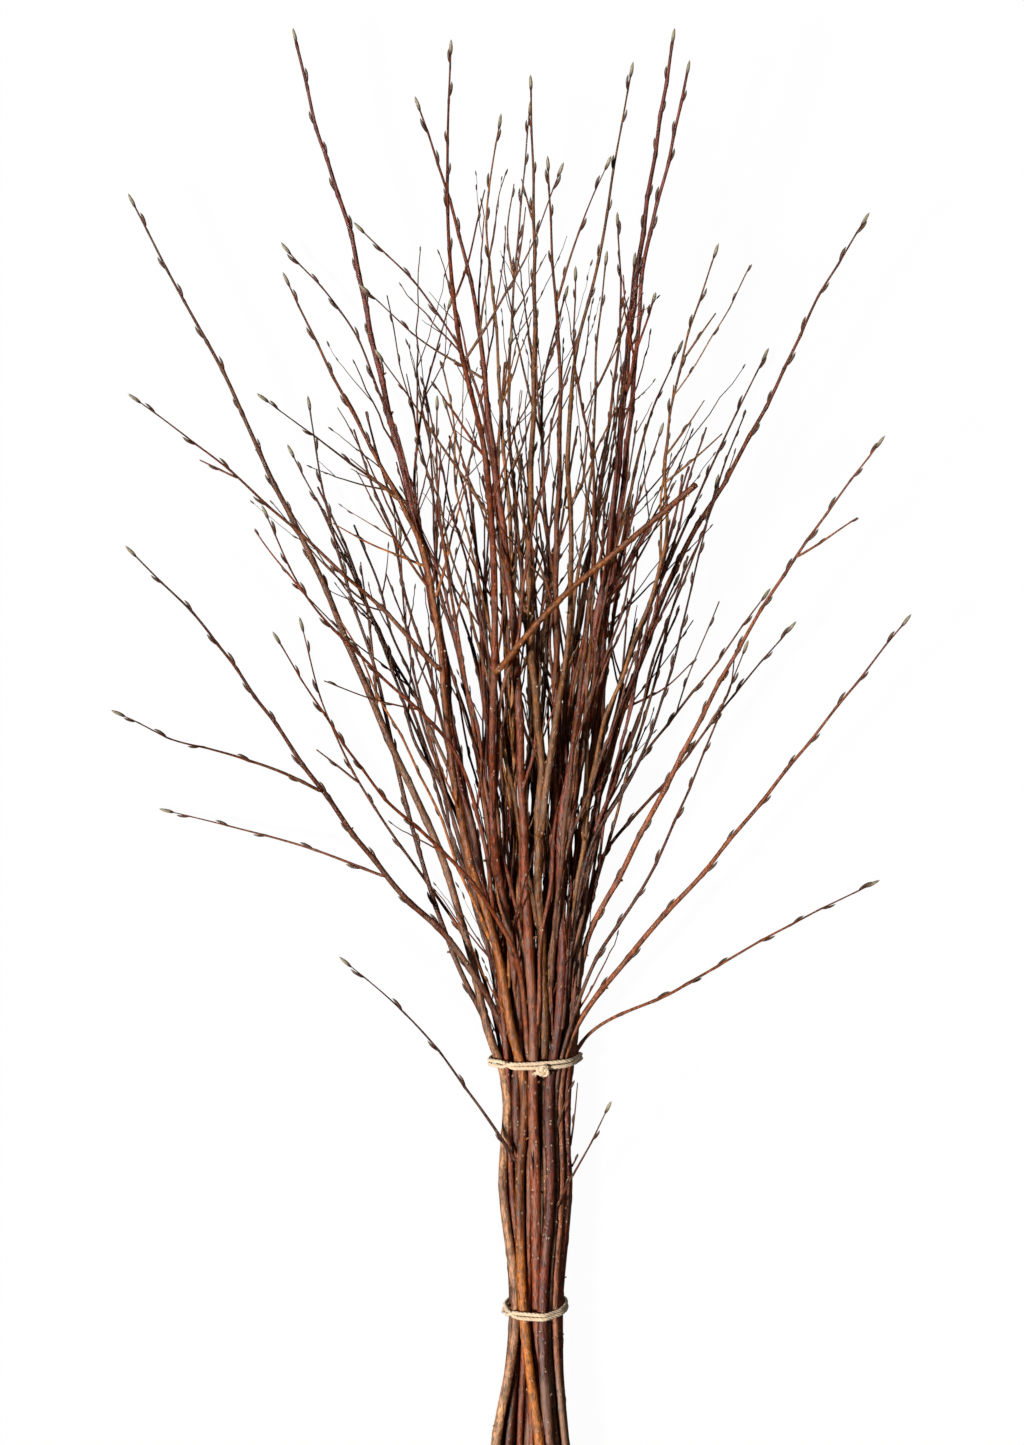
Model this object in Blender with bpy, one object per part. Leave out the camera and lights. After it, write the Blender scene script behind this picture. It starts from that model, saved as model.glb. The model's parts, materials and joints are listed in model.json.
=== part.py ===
"""A bundle of cut twigs lying on a table, tied with two bands of twine.

The photograph shows the bundle upright against white. It lies down here: the photo's up is +Y,
its right is +X and its near side is +Z. Each twig is a tapered faceted tube. Its path was read
by eye off the photograph as pixel points, and its height above the table is a guess from what
crosses in front of what. A relaxation in numpy then pushes the twigs apart until they only lie
beside each other, inside the two ties and above the table.
"""

import math

import bpy
import numpy as np

# The driving size: the two ties are 160 mm apart, which makes the twine 2.7 mm thick.
TIE_SPACING = 0.160
LOWER_TIE_ROW = 1312.0
UPPER_TIE_ROW = 1065.0
PIXEL = TIE_SPACING / (LOWER_TIE_ROW - UPPER_TIE_ROW)

# The camera that the photo is taken to have, straight above the lying bundle.
LENS_COLUMN = 512.0
LENS_ROW = 722.5
LENS_HEIGHT = 4.0
PHOTO_PLANE = 0.030

# Twine and the room inside each tie, in metres.
TWINE = 0.0027
TIE_SLACK = 0.0006
UPPER_ROOM = (0.0254, 0.0168)
LOWER_ROOM = (0.0177, 0.0197)
UPPER_CENTRE = (535.2, 0.0208)
LOWER_CENTRE = (536.0, 0.0236)

# Ties: name, row, tilt in degrees, lean, centre, column of the knot, or None where it is hidden.
TIES = (("upper_tie", UPPER_TIE_ROW - 5.5, 10.0, 0.035, UPPER_CENTRE, 543.0),
        ("lower_tie", LOWER_TIE_ROW - 6.0, 15.0, 0.05, LOWER_CENTRE, None))
HIDDEN_KNOT_TURN = 205.0
TIE_POINTS = 46
KNOT_SIZE = (0.0048, 0.0036, 0.0026)
# How far the knot's middle lies outward of the tie's centreline, and down from it.
KNOT_SEAT = (0.0015, 0.0014)

# Gaps between solids, in metres.
CLEARANCE = 0.00050
FORK_GAP = 0.00035

# How a twig thins: the share of its length is raised to this power. How a twig's height rises: likewise.
TAPER = 1.9
RISE = 1.25
# How much better a twig in front holds its place than one behind when the two are pushed apart.
HOLD = 0.92

# Side shoots in the crown: the rows and columns they grow between, lean in degrees, length and
# thickness in metres.
SHOOT_ROWS = (760, 330)
SHOOT_COLUMNS = (385, 668)
SHOOT_LEAN = (22, 36)
SHOOT_LENGTH = (0.055, 0.095)
SHOOT_RADII = (0.0011, 0.00045)

RING_SPACING = 0.066
TWIG_SIDES = 5
SHOOT_SIDES = 4
# A shoot is a square tube this large for its radius, and its opening in the stem is this long.
SQUARE_SHARE = 0.95
DOOR_SHARE = 1.5
SEED = 41

# The relaxation: steps in all, when it stops spreading twigs, and when it stops smoothing them.
STEPS = 640
SPREAD_STEPS = 440
SMOOTH_STEPS = 570
# How often, in steps, and how widely, in metres, it looks for near pairs.
NEAR_EVERY = 14
NEAR_REACH = 0.012
SPARE_GAP = 0.0003
PUSH_RATE = 0.42
# Over this length above the upper tie a push loses this share of its sideways part.
BRUSH_LENGTH = 0.15
BRUSH_LOSS = 0.6
# A push's share along the twigs, and the least share of it that counts across the gap.
LENGTHWISE = 0.3
LEAST_ACROSS = 0.25
# The pull back to the photo's places, and the smoothing of moves, at first and while it settles.
PULL_BACK = 0.004
SMOOTHING = (0.22, 0.02)

# Rows of the five stations of a stem, from its cut end to the upper tie.
STATION_ROWS = (1540.0, 1445.0, LOWER_TIE_ROW, 1190.0, UPPER_TIE_ROW)
# Row of the next ring, just above the upper tie, so that the outer stems flare only from there.
NECK_ROW = 1048.0
# Height of the bundle's axis and the half height of its section there, in metres.
STATION_AXIS = (0.0225, 0.0215, 0.0212, 0.0208, 0.0205)
STATION_HALF = (0.0165, 0.0150, 0.0150, 0.0155, 0.0155)

PALETTE = {
    "wine": (0.150, 0.050, 0.050),
    "red": (0.200, 0.058, 0.034),
    "orange": (0.330, 0.130, 0.050),
    "olive": (0.230, 0.135, 0.060),
    "grey": (0.190, 0.140, 0.095),
    "brown": (0.130, 0.055, 0.032),
    "dark": (0.070, 0.036, 0.025),
}
TWINE_COLOUR = (0.640, 0.460, 0.270)

# Stems, in photo pixels: name, column at each station, points from the upper tie to the tip,
# thickness at the cut end and at the tip, place in the ties from back (-1) to front (1), or at each
# station from the cut end, height of the tip above the table in millimetres, colour.
STEMS = (
    ("left_long", (484, 493, 511, 501, 497),
     ((484, 1000), (466, 935), (452, 880), (435, 838), (412, 785), (383, 730), (352, 652), (325, 582),
      (298, 535), (270, 475), (243, 410), (212, 350), (182, 298), (150, 232), (128, 193)),
     (9.5, 2.6), 0.2, 60, "grey"),
    ("golden", (543, 530, 511, 507, 507),
     ((497, 1000), (487, 950), (475, 897), (457, 845), (447, 790), (439, 730), (434, 670), (429, 610),
      (418, 555), (398, 510), (370, 458), (340, 402), (317, 357), (300, 318), (277, 272)),
     (10, 2.6), (1.5, 1.3, 0.6, 0.6, 0.9), 95, "orange"),
    ("plum", (540, 537, 531, 521, 523),
     ((521, 1000), (513, 945), (503, 900), (497, 850), (494, 800), (494, 730), (496, 650), (495, 560),
      (489, 465), (475, 408), (462, 350), (452, 290), (448, 200), (449, 110), (452, 40)),
     (9.5, 2.6), 0.3, 235, "red"),
    ("diagonal", (528, 535, 541, 532, 519),
     ((507, 1015), (500, 960), (490, 905), (480, 860), (468, 810), (457, 765), (448, 715), (444, 660),
      (437, 600), (425, 555), (410, 500), (398, 445), (382, 385), (367, 310), (355, 245), (335, 180),
      (308, 100), (294, 27)),
     (10, 2.8), 0.3, 75, "wine"),
    ("central", (559, 554, 551, 546, 542),
     ((540, 1015), (535, 940), (531, 890), (529, 820), (526, 740), (521, 680), (518, 610), (512, 555),
      (503, 500), (496, 440), (489, 385), (484, 330), (474, 275), (461, 225), (445, 172), (430, 128),
      (419, 96)),
     (11, 2.8), (0.5, 0.6, 0.9, 1.0, 1.0), 150, "red"),
    ("pale_fork", (560, 556, 554, 553, 553),
     ((554, 1005), (550, 950), (545, 900), (545, 860), (547, 800), (547, 740), (541, 690), (536, 640),
      (535, 580), (533, 520), (536, 470), (538, 400), (540, 330), (538, 250), (537, 170), (534, 75)),
     (10, 2.6), 0.5, 175, "olive"),
    ("red_tall", (568, 561, 556, 563, 567),
     ((569, 1000), (573, 930), (570, 880), (568, 830), (574, 790), (583, 740), (590, 700), (598, 655),
      (606, 605), (614, 560), (620, 515), (625, 450), (630, 385), (637, 320), (643, 260), (653, 205),
      (661, 150), (667, 100), (680, 28)),
     (10.5, 3), 0.85, 150, "wine"),
    ("red_second", (577, 566, 561, 570, 574),
     ((577, 1000), (582, 950), (586, 900), (588, 850), (592, 800), (598, 740), (603, 680), (609, 620),
      (617, 560), (625, 500), (631, 440), (636, 390), (641, 330), (648, 255), (661, 195), (675, 148),
      (686, 97), (692, 60)),
     (8.5, 2.6), 0.4, 80, "wine"),
    ("red_third", (551, 556, 557, 561, 562),
     ((560, 1000), (563, 940), (572, 870), (580, 800), (589, 740), (597, 690), (604, 640), (610, 580),
      (616, 520), (621, 460), (626, 400), (632, 330), (639, 252)),
     (8, 3), 0.3, 132, "red"),
    ("right_high", (592, 568, 563, 571, 578),
     ((581, 1010), (584, 965), (592, 930), (609, 900), (630, 862), (650, 822), (672, 780), (695, 735),
      (718, 690), (740, 648), (765, 607), (795, 562), (820, 525), (848, 488), (870, 458), (887, 435)),
     (7.5, 2.6), 0.2, 110, "brown"),
    ("right_mid", (540, 548, 553, 563, 570),
     ((577, 1000), (583, 940), (592, 890), (605, 858), (625, 832), (645, 806), (664, 790), (688, 757),
      (718, 720), (745, 683), (775, 648), (799, 621)),
     (5.5, 2.3), -0.1, 45, "brown"),
    ("right_inner", (570, 563, 558, 563, 566),
     ((573, 1000), (582, 950), (590, 900), (598, 850), (608, 812), (625, 785), (645, 760), (665, 737),
      (690, 705), (722, 662), (745, 622), (775, 588)),
     (5.5, 2.3), -0.35, 6, "grey"),
    ("right_dark", (535, 545, 551, 562, 571),
     ((576, 1000), (580, 940), (588, 880), (600, 840), (615, 810), (635, 780), (650, 755), (662, 728),
      (672, 690), (682, 655), (692, 615), (700, 575), (710, 540), (718, 508), (725, 474)),
     (5, 2.1), 0.45, 135, "dark"),
    ("right_low", (588, 573, 565, 571, 577),
     ((581, 1040), (595, 1010), (622, 978), (648, 945), (682, 905), (715, 870), (745, 835), (775, 797),
      (800, 760), (820, 737), (845, 708), (870, 675), (890, 640), (919, 614)),
     (7, 2.4), 0.3, 70, "brown"),
    ("right_lowest", (545, 552, 558, 568, 576),
     ((581, 1050), (598, 1038), (622, 1021), (650, 1006), (683, 990), (715, 967), (745, 954),
      (775, 936), (805, 921), (850, 898), (885, 880)),
     (5, 2.1), 0.05, 8, "brown"),
    ("right_thin", (553, 558, 561, 569, 573),
     ((579, 1030), (590, 1000), (600, 972), (612, 950), (630, 925), (650, 893), (665, 863), (682, 825),
      (697, 793), (712, 760), (724, 725), (737, 690), (748, 660), (757, 640)),
     (5, 2), 0.65, 150, "dark"),
    ("right_sweep", (565, 561, 555, 562, 567),
     ((574, 1000), (582, 940), (588, 880), (597, 820), (607, 770), (618, 730), (632, 690), (645, 655),
      (655, 615), (668, 585), (690, 545), (712, 505), (735, 468), (760, 425), (779, 385), (802, 340),
      (822, 293), (850, 243), (872, 212)),
     (8.5, 2.6), 0.25, 90, "brown"),
    ("right_upper", (530, 540, 548, 557, 561),
     ((567, 1000), (577, 930), (585, 860), (592, 800), (603, 750), (615, 710), (628, 680), (640, 645),
      (655, 600), (672, 560), (692, 525), (708, 488), (728, 440), (750, 393), (773, 348)),
     (5.5, 2.3), -0.45, 6, "grey"),
    ("right_kinked", (559, 552, 545, 553, 557),
     ((564, 1000), (574, 930), (583, 860), (591, 790), (601, 740), (612, 700), (625, 665), (642, 630),
      (656, 600), (665, 565), (667, 520), (666, 470), (668, 435), (674, 400), (682, 368), (690, 330),
      (700, 295), (710, 265), (720, 243)),
     (6, 2.3), 0.5, 165, "olive"),
    ("left_low", (501, 506, 515, 509, 505),
     ((497, 1005), (480, 975), (455, 955), (430, 930), (405, 900), (385, 879), (358, 842), (322, 795),
      (297, 758), (262, 710), (230, 660), (190, 613), (150, 573), (122, 546)),
     (8, 2.4), 0.3, 85, "brown"),
    ("left_dark", (489, 497, 509, 502, 493),
     ((487, 1042), (478, 1022), (462, 992), (440, 937), (421, 882), (409, 830), (398, 795), (388, 755),
      (376, 695), (365, 645), (352, 608), (338, 575), (326, 535), (318, 490), (308, 445), (303, 395)),
     (6.5, 2.2), 0.15, 40, "dark"),
    ("left_red", (520, 518, 517, 507, 501),
     ((494, 1000), (488, 950), (482, 900), (478, 850), (470, 800), (457, 762), (440, 742), (420, 722),
      (400, 697), (378, 680), (350, 652), (325, 628), (300, 597), (280, 560), (262, 525), (255, 505)),
     (6, 2.2), 0.35, 130, "red"),
    ("left_fine", (495, 502, 512, 504, 499),
     ((489, 1000), (472, 957), (452, 922), (433, 890), (415, 872), (400, 858), (387, 835), (368, 803),
      (347, 768), (330, 730), (313, 688), (302, 655), (296, 617)),
     (5, 2), -0.2, 6, "brown"),
    ("left_cross", (538, 536, 533, 533, 532),
     ((527, 1000), (515, 945), (500, 915), (480, 890), (455, 860), (430, 838), (405, 815), (380, 790),
      (358, 760), (336, 730), (315, 693), (300, 672), (285, 648), (275, 632)),
     (6, 2.2), 0.5, 160, "red"),
    ("left_inner", (513, 515, 519, 513, 509),
     ((501, 990), (490, 930), (478, 870), (462, 810), (442, 760), (422, 715), (403, 678), (385, 648),
      (367, 615), (350, 585), (338, 555), (330, 530), (321, 500), (305, 473), (285, 444)),
     (5.5, 2.2), -0.4, 5, "grey"),
    ("left_arch", (523, 521, 521, 514, 511),
     ((506, 1000), (499, 930), (490, 860), (478, 790), (468, 730), (455, 670), (441, 610), (425, 560),
      (405, 505), (390, 455), (380, 400), (370, 362), (345, 325), (315, 287), (283, 252), (276, 243)),
     (5.5, 2.2), -0.7, 14, "brown"),
    ("behind_left", (528, 528, 527, 520, 517),
     ((514, 980), (511, 900), (509, 820), (507, 740), (504, 660), (501, 590), (497, 520), (489, 450),
      (479, 395), (462, 355), (442, 323), (425, 297), (398, 263), (367, 235), (352, 222)),
     (6, 2.2), -0.1, 70, "red"),
    ("slim_centre", (540, 537, 535, 533, 531),
     ((528, 980), (522, 900), (517, 820), (515, 740), (515, 660), (514, 590), (512, 530), (506, 470),
      (502, 410), (500, 340), (492, 290), (486, 250), (488, 210), (495, 165), (502, 113)),
     (6.5, 2.2), 0.1, 95, "olive"),
    ("brown_centre", (548, 547, 547, 549, 549),
     ((554, 980), (558, 900), (560, 820), (562, 740), (563, 660), (562, 590), (562, 520), (566, 440),
      (566, 380), (562, 310), (557, 250), (554, 190), (553, 155)),
     (9, 2.6), 0.4, 170, "brown"),
    ("back_centre", (545, 543, 541, 541, 541),
     ((541, 980), (540, 900), (537, 820), (534, 740), (530, 660), (525, 580), (516, 500), (510, 430),
      (511, 340), (517, 275), (524, 215), (518, 172), (525, 130), (532, 100)),
     (6, 2), -0.6, 45, "grey"),
    ("dark_kinked", (534, 541, 547, 553, 555),
     ((561, 980), (568, 900), (575, 820), (583, 740), (592, 660), (599, 590), (603, 520), (600, 460),
      (590, 405), (581, 360), (580, 310), (583, 266)),
     (6, 2.2), 0.4, 185, "dark"),
    ("back_left", (506, 511, 518, 511, 505),
     ((497, 1000), (486, 940), (475, 880), (464, 820), (452, 760), (441, 700), (433, 640), (423, 580),
      (413, 520), (407, 470), (412, 420), (425, 370), (436, 335), (447, 295)),
     (7, 2.4), -0.85, 6, "brown"),
    ("back_mid_left", (527, 526, 526, 523, 521),
     ((516, 990), (507, 920), (498, 850), (490, 780), (483, 700), (478, 620), (474, 540), (466, 480),
      (452, 420), (440, 395)),
     (7.5, 2.6), -0.9, 20, "red"),
    ("back_mid", (550, 545, 541, 539, 537),
     ((535, 980), (533, 900), (535, 820), (541, 740), (549, 660), (552, 580), (548, 500), (541, 440),
      (546, 380), (555, 330), (570, 285)),
     (7.5, 2.6), -0.95, 30, "grey"),
    ("back_mid_right", (562, 558, 552, 553, 553),
     ((555, 980), (559, 900), (565, 820), (572, 740), (580, 660), (590, 580), (603, 500), (612, 440),
      (616, 395), (622, 350), (628, 280), (622, 212)),
     (7.5, 2.4), -0.85, 24, "brown"),
    ("back_right", (585, 572, 562, 567, 570),
     ((576, 990), (583, 920), (590, 850), (598, 790), (608, 720), (618, 650), (626, 580), (633, 520),
      (645, 460), (658, 410), (676, 372), (690, 340)),
     (6.5, 2.3), -0.6, 6, "brown"),
    ("core_left", (508, 514, 521, 516, 513),
     ((503, 990), (495, 920), (486, 850), (477, 780), (466, 710), (456, 650), (446, 590), (438, 530),
      (432, 480), (434, 440), (433, 395)),
     (6, 2.4), -0.2, 110, "brown"),
    ("core_right", (575, 566, 559, 560, 559),
     ((562, 990), (568, 920), (577, 850), (588, 780), (599, 710), (611, 640), (622, 580), (633, 520),
      (641, 470), (652, 440), (665, 422)),
     (6, 2.4), -0.1, 94, "red"),
    ("core_mid", (530, 532, 533, 530, 527),
     ((523, 980), (519, 900), (516, 820), (512, 740), (508, 660), (505, 590), (500, 530), (497, 470),
      (500, 420), (507, 370), (512, 330)),
     (6, 2.4), -0.3, 80, "grey"),
    ("core_tan", (556, 551, 549, 551, 551),
     ((557, 980), (560, 900), (563, 820), (567, 740), (572, 660), (580, 590), (588, 520), (596, 460),
      (602, 400), (600, 350), (604, 300), (611, 250)),
     (6, 2.4), 0.0, 130, "olive"),
    ("core_low_left", (499, 504, 512, 507, 503),
     ((493, 990), (478, 920), (464, 870), (450, 820), (436, 780), (424, 730), (412, 690), (405, 650),
      (400, 610), (397, 570), (396, 525)),
     (6, 2.4), -0.5, 40, "dark"),
    ("core_low_right", (580, 570, 561, 567, 571),
     ((577, 990), (585, 930), (594, 880), (604, 830), (616, 790), (628, 750), (640, 710), (650, 670),
      (662, 640), (678, 612), (694, 573)),
     (6, 2.4), -0.75, 8, "brown"),
)

# Branches: name, stem, points from the fork to the tip, thickness at the fork and at the tip,
# height of the tip in millimetres, colour.
BRANCHES = (
    ("left_low_branch", "left_low",
     ((385, 879), (370, 873), (346, 863), (310, 850), (285, 838), (250, 831), (210, 824), (185, 817),
      (156, 809)),
     (3.6, 1.8), 5, "brown"),
    ("left_low_fork", "left_low",
     ((322, 795), (297, 783), (280, 774), (250, 761), (225, 756), (190, 746), (160, 736), (130, 720),
      (108, 711)),
     (3.8, 1.8), 120, "brown"),
    ("left_wide_branch", "golden",
     ((434, 670), (415, 645), (392, 622), (370, 605), (340, 575), (300, 540), (260, 505), (230, 478),
      (187, 440), (150, 414), (121, 394)),
     (5, 2), 125, "brown"),
    ("left_slant_branch", "diagonal",
     ((408, 505), (380, 483), (350, 461), (330, 447), (308, 431), (275, 405), (258, 393)),
     (3.6, 1.8), 105, "grey"),
    ("pale_fork_right", "pale_fork",
     ((547, 835), (553, 790), (557, 755), (562, 715), (568, 680), (575, 640), (578, 590), (577, 540),
      (574, 480), (573, 415), (578, 365), (590, 325), (601, 275), (612, 220), (620, 160), (628, 105),
      (638, 62)),
     (8, 2.4), 190, "olive"),
    ("orange_branch", "plum",
     ((496, 672), (504, 653), (520, 636), (540, 618), (560, 601), (585, 580), (610, 560), (630, 541),
      (650, 522), (680, 498), (697, 485)),
     (8.5, 6.0), 165, "orange"),
    ("brown_branch", "brown_centre",
     ((562, 312), (570, 270), (585, 228), (600, 203), (608, 180), (616, 155)),
     (3.2, 1.6), 190, "brown"),
    ("cross_branch", "plum",
     ((466, 372), (485, 335), (505, 300), (525, 262), (543, 228), (557, 187), (565, 163)),
     (3.4, 1.6), 205, "grey"),
    ("red_side_branch", "red_tall",
     ((629, 405), (637, 375), (643, 350), (652, 320), (661, 292)),
     (3.2, 1.6), 185, "wine"),
    ("slim_branch", "central",
     ((489, 385), (480, 402), (468, 387), (455, 370), (440, 350), (420, 335), (400, 320), (378, 303),
      (362, 284)),
     (3.4, 1.6), 150, "grey"),
    ("low_left_spray", "golden",
     ((513, 1163), (503, 1151), (492, 1139), (465, 1103), (435, 1062), (415, 1040), (400, 1020),
      (380, 1002), (350, 975), (327, 957)),
     (4, 1.8), 60, "dark"),
    ("low_right_spray", "right_thin",
     ((570, 1206), (580, 1180), (597, 1150), (610, 1126), (624, 1101)),
     (3.6, 1.8), 75, "dark"),
    ("mid_left_branch", "plum",
     ((492, 520), (480, 512), (470, 500), (458, 475), (445, 450), (430, 425), (420, 405), (407, 385),
      (395, 365), (376, 349)),
     (4, 1.8), 165, "grey"),
)

# Side shoots that are fused to what they grow from: parent, points from the fork to the tip.
SHOOTS = (
    ("right_high", ((797, 560), (815, 545), (838, 531), (860, 518))),
    ("left_wide_branch", ((236, 482), (215, 472), (193, 460))),
    ("left_red", ((300, 597), (283, 578), (268, 558), (249, 530))),
    ("right_kinked", ((681, 370), (693, 352), (705, 336), (717, 313))),
    ("right_kinked", ((667, 487), (685, 465), (700, 452), (723, 433))),
    ("left_fine", ((355, 782), (345, 773), (330, 760), (313, 750))),
)


def from_photo(column, row, z):
    """Metres of a photo point at a height, brought in to where the camera overhead would see it."""
    nearer = (LENS_HEIGHT - z) / (LENS_HEIGHT - PHOTO_PLANE)
    return ((column - LENS_COLUMN) * PIXEL * nearer, (LENS_ROW - row) * PIXEL * nearer, z)


def resampled(points, spacing):
    """Points at an even spacing along a polyline, both ends kept."""
    points = np.asarray(points, float)
    steps = np.linalg.norm(np.diff(points, axis=0), axis=1)
    along = np.concatenate([[0.0], np.cumsum(steps)])
    count = max(2, int(round(along[-1] / spacing)) + 1)
    wanted = np.linspace(0.0, along[-1], count)
    return np.column_stack([np.interp(wanted, along, points[:, k]) for k in range(3)])


class Chain:
    """One twig as a row of points with radii, free or growing from a parent chain."""

    def __init__(self, name, points, radii, colour="", parent=None, fused=False, ease=0.6):
        self.name = name
        self.ease = ease
        self.points = np.asarray(points, float)
        self.radii = np.asarray(radii, float)
        self.colour = colour
        self.parent = parent
        self.fused = fused
        if parent is not None:
            self.place = parent.nearest(self.points[0])

    def at(self, place):
        """Point, direction and radius at a place counted in rings."""
        index = min(int(place), len(self.points) - 2)
        share = place - index
        low, high = self.points[index], self.points[index + 1]
        radius = (1 - share) * self.radii[index] + share * self.radii[index + 1]
        return (1 - share) * low + share * high, (high - low) / np.linalg.norm(high - low), radius

    def nearest(self, point):
        """Place on this chain nearest to a point as the camera sees it."""
        low, step = self.points[:-1, :2], np.diff(self.points[:, :2], axis=0)
        share = ((point[:2] - low) * step).sum(1) / (step * step).sum(1)
        share = np.clip(share, 0.05, 0.95)
        far = np.linalg.norm(low + share[:, None] * step - point[:2], axis=1)
        best = int(far.argmin())
        return best + float(share[best])


def stem_chain(row):
    """The chain of a stem: its five stations, then its points from the upper tie to the tip."""
    name, columns, above, (thick, thin), lift, rise, colour = row
    rows = (STATION_ROWS[0] + 11 * math.sin(7.3 * columns[0] + rise),) + STATION_ROWS[1:]
    lifts = np.broadcast_to(lift, len(rows))
    points = [from_photo(c, r, axis + up * half)
              for c, r, axis, half, up in zip(columns, rows, STATION_AXIS, STATION_HALF, lifts)]
    start = points[-1]
    pixels = [(columns[-1], UPPER_TIE_ROW)] + list(above)
    after = next(k for k, (_, pixel_row) in enumerate(pixels) if pixel_row < NECK_ROW)
    (near_column, near_row), (far_column, far_row) = pixels[after - 1], pixels[after]
    share = (near_row - NECK_ROW) / (near_row - far_row)
    neck = (near_column + share * (far_column - near_column), NECK_ROW)
    pixels = np.array([pixels[0], neck] + pixels[after:], float)
    along = np.concatenate([[0.0], np.cumsum(np.linalg.norm(np.diff(pixels, axis=0), axis=1))])
    share = along / along[-1]
    height = start[2] + (rise / 1000 - start[2]) * share ** RISE
    upper = [from_photo(c, r, z) for (c, r), z in zip(pixels, height)]
    points = points[:-1] + [upper[0]] + list(resampled(upper[1:], RING_SPACING))
    points = np.array(points)
    length = np.concatenate([[0.0], np.cumsum(np.linalg.norm(np.diff(points, axis=0), axis=1))])
    part = length / length[-1]
    radii = 0.5 * PIXEL * (thin + (thick - thin) * (1 - part ** TAPER))
    return Chain("twig_" + name, points, radii, colour, ease=1 - HOLD * np.clip(lifts[-1], 0, 1))


def branch_chain(name, parent, pixels, thick, thin, rise, colour, fused=False):
    """The chain of a branch that leaves its parent where its first point is nearest."""
    first = from_photo(*pixels[0], 0.03)
    fork, _, parent_radius = parent.at(parent.nearest(np.array(first)))
    pixels = np.array(pixels, float)
    along = np.concatenate([[0.0], np.cumsum(np.linalg.norm(np.diff(pixels, axis=0), axis=1))])
    share = along / along[-1]
    height = fork[2] + (rise / 1000 - fork[2]) * share
    points = np.array([from_photo(c, r, z) for (c, r), z in zip(pixels, height)])
    points[0] = fork
    points = resampled(points, RING_SPACING * (0.5 if fused else 0.95))
    share = np.linspace(0, 1, len(points))
    thick = min(thick * PIXEL, 1.7 * parent_radius)
    radii = 0.5 * (thick + (thin * PIXEL - thick) * share)
    return Chain("twig_" + name, points, radii, colour, parent, fused)


def closest(p1, q1, p2, q2):
    """Shares along two rows of segments where each pair comes nearest, and the vector between."""
    d1, d2, r = q1 - p1, q2 - p2, p1 - p2
    a, e, b = (d1 * d1).sum(1), (d2 * d2).sum(1), (d1 * d2).sum(1)
    c, f = (d1 * r).sum(1), (d2 * r).sum(1)
    s = np.clip((b * f - c * e) / np.maximum(a * e - b * b, 1e-16), 0, 1)
    t = np.clip((b * s + f) / e, 0, 1)
    s = np.clip((b * t - c) / a, 0, 1)
    return s, t, (p1 + s[:, None] * d1) - (p2 + t[:, None] * d2)


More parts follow.
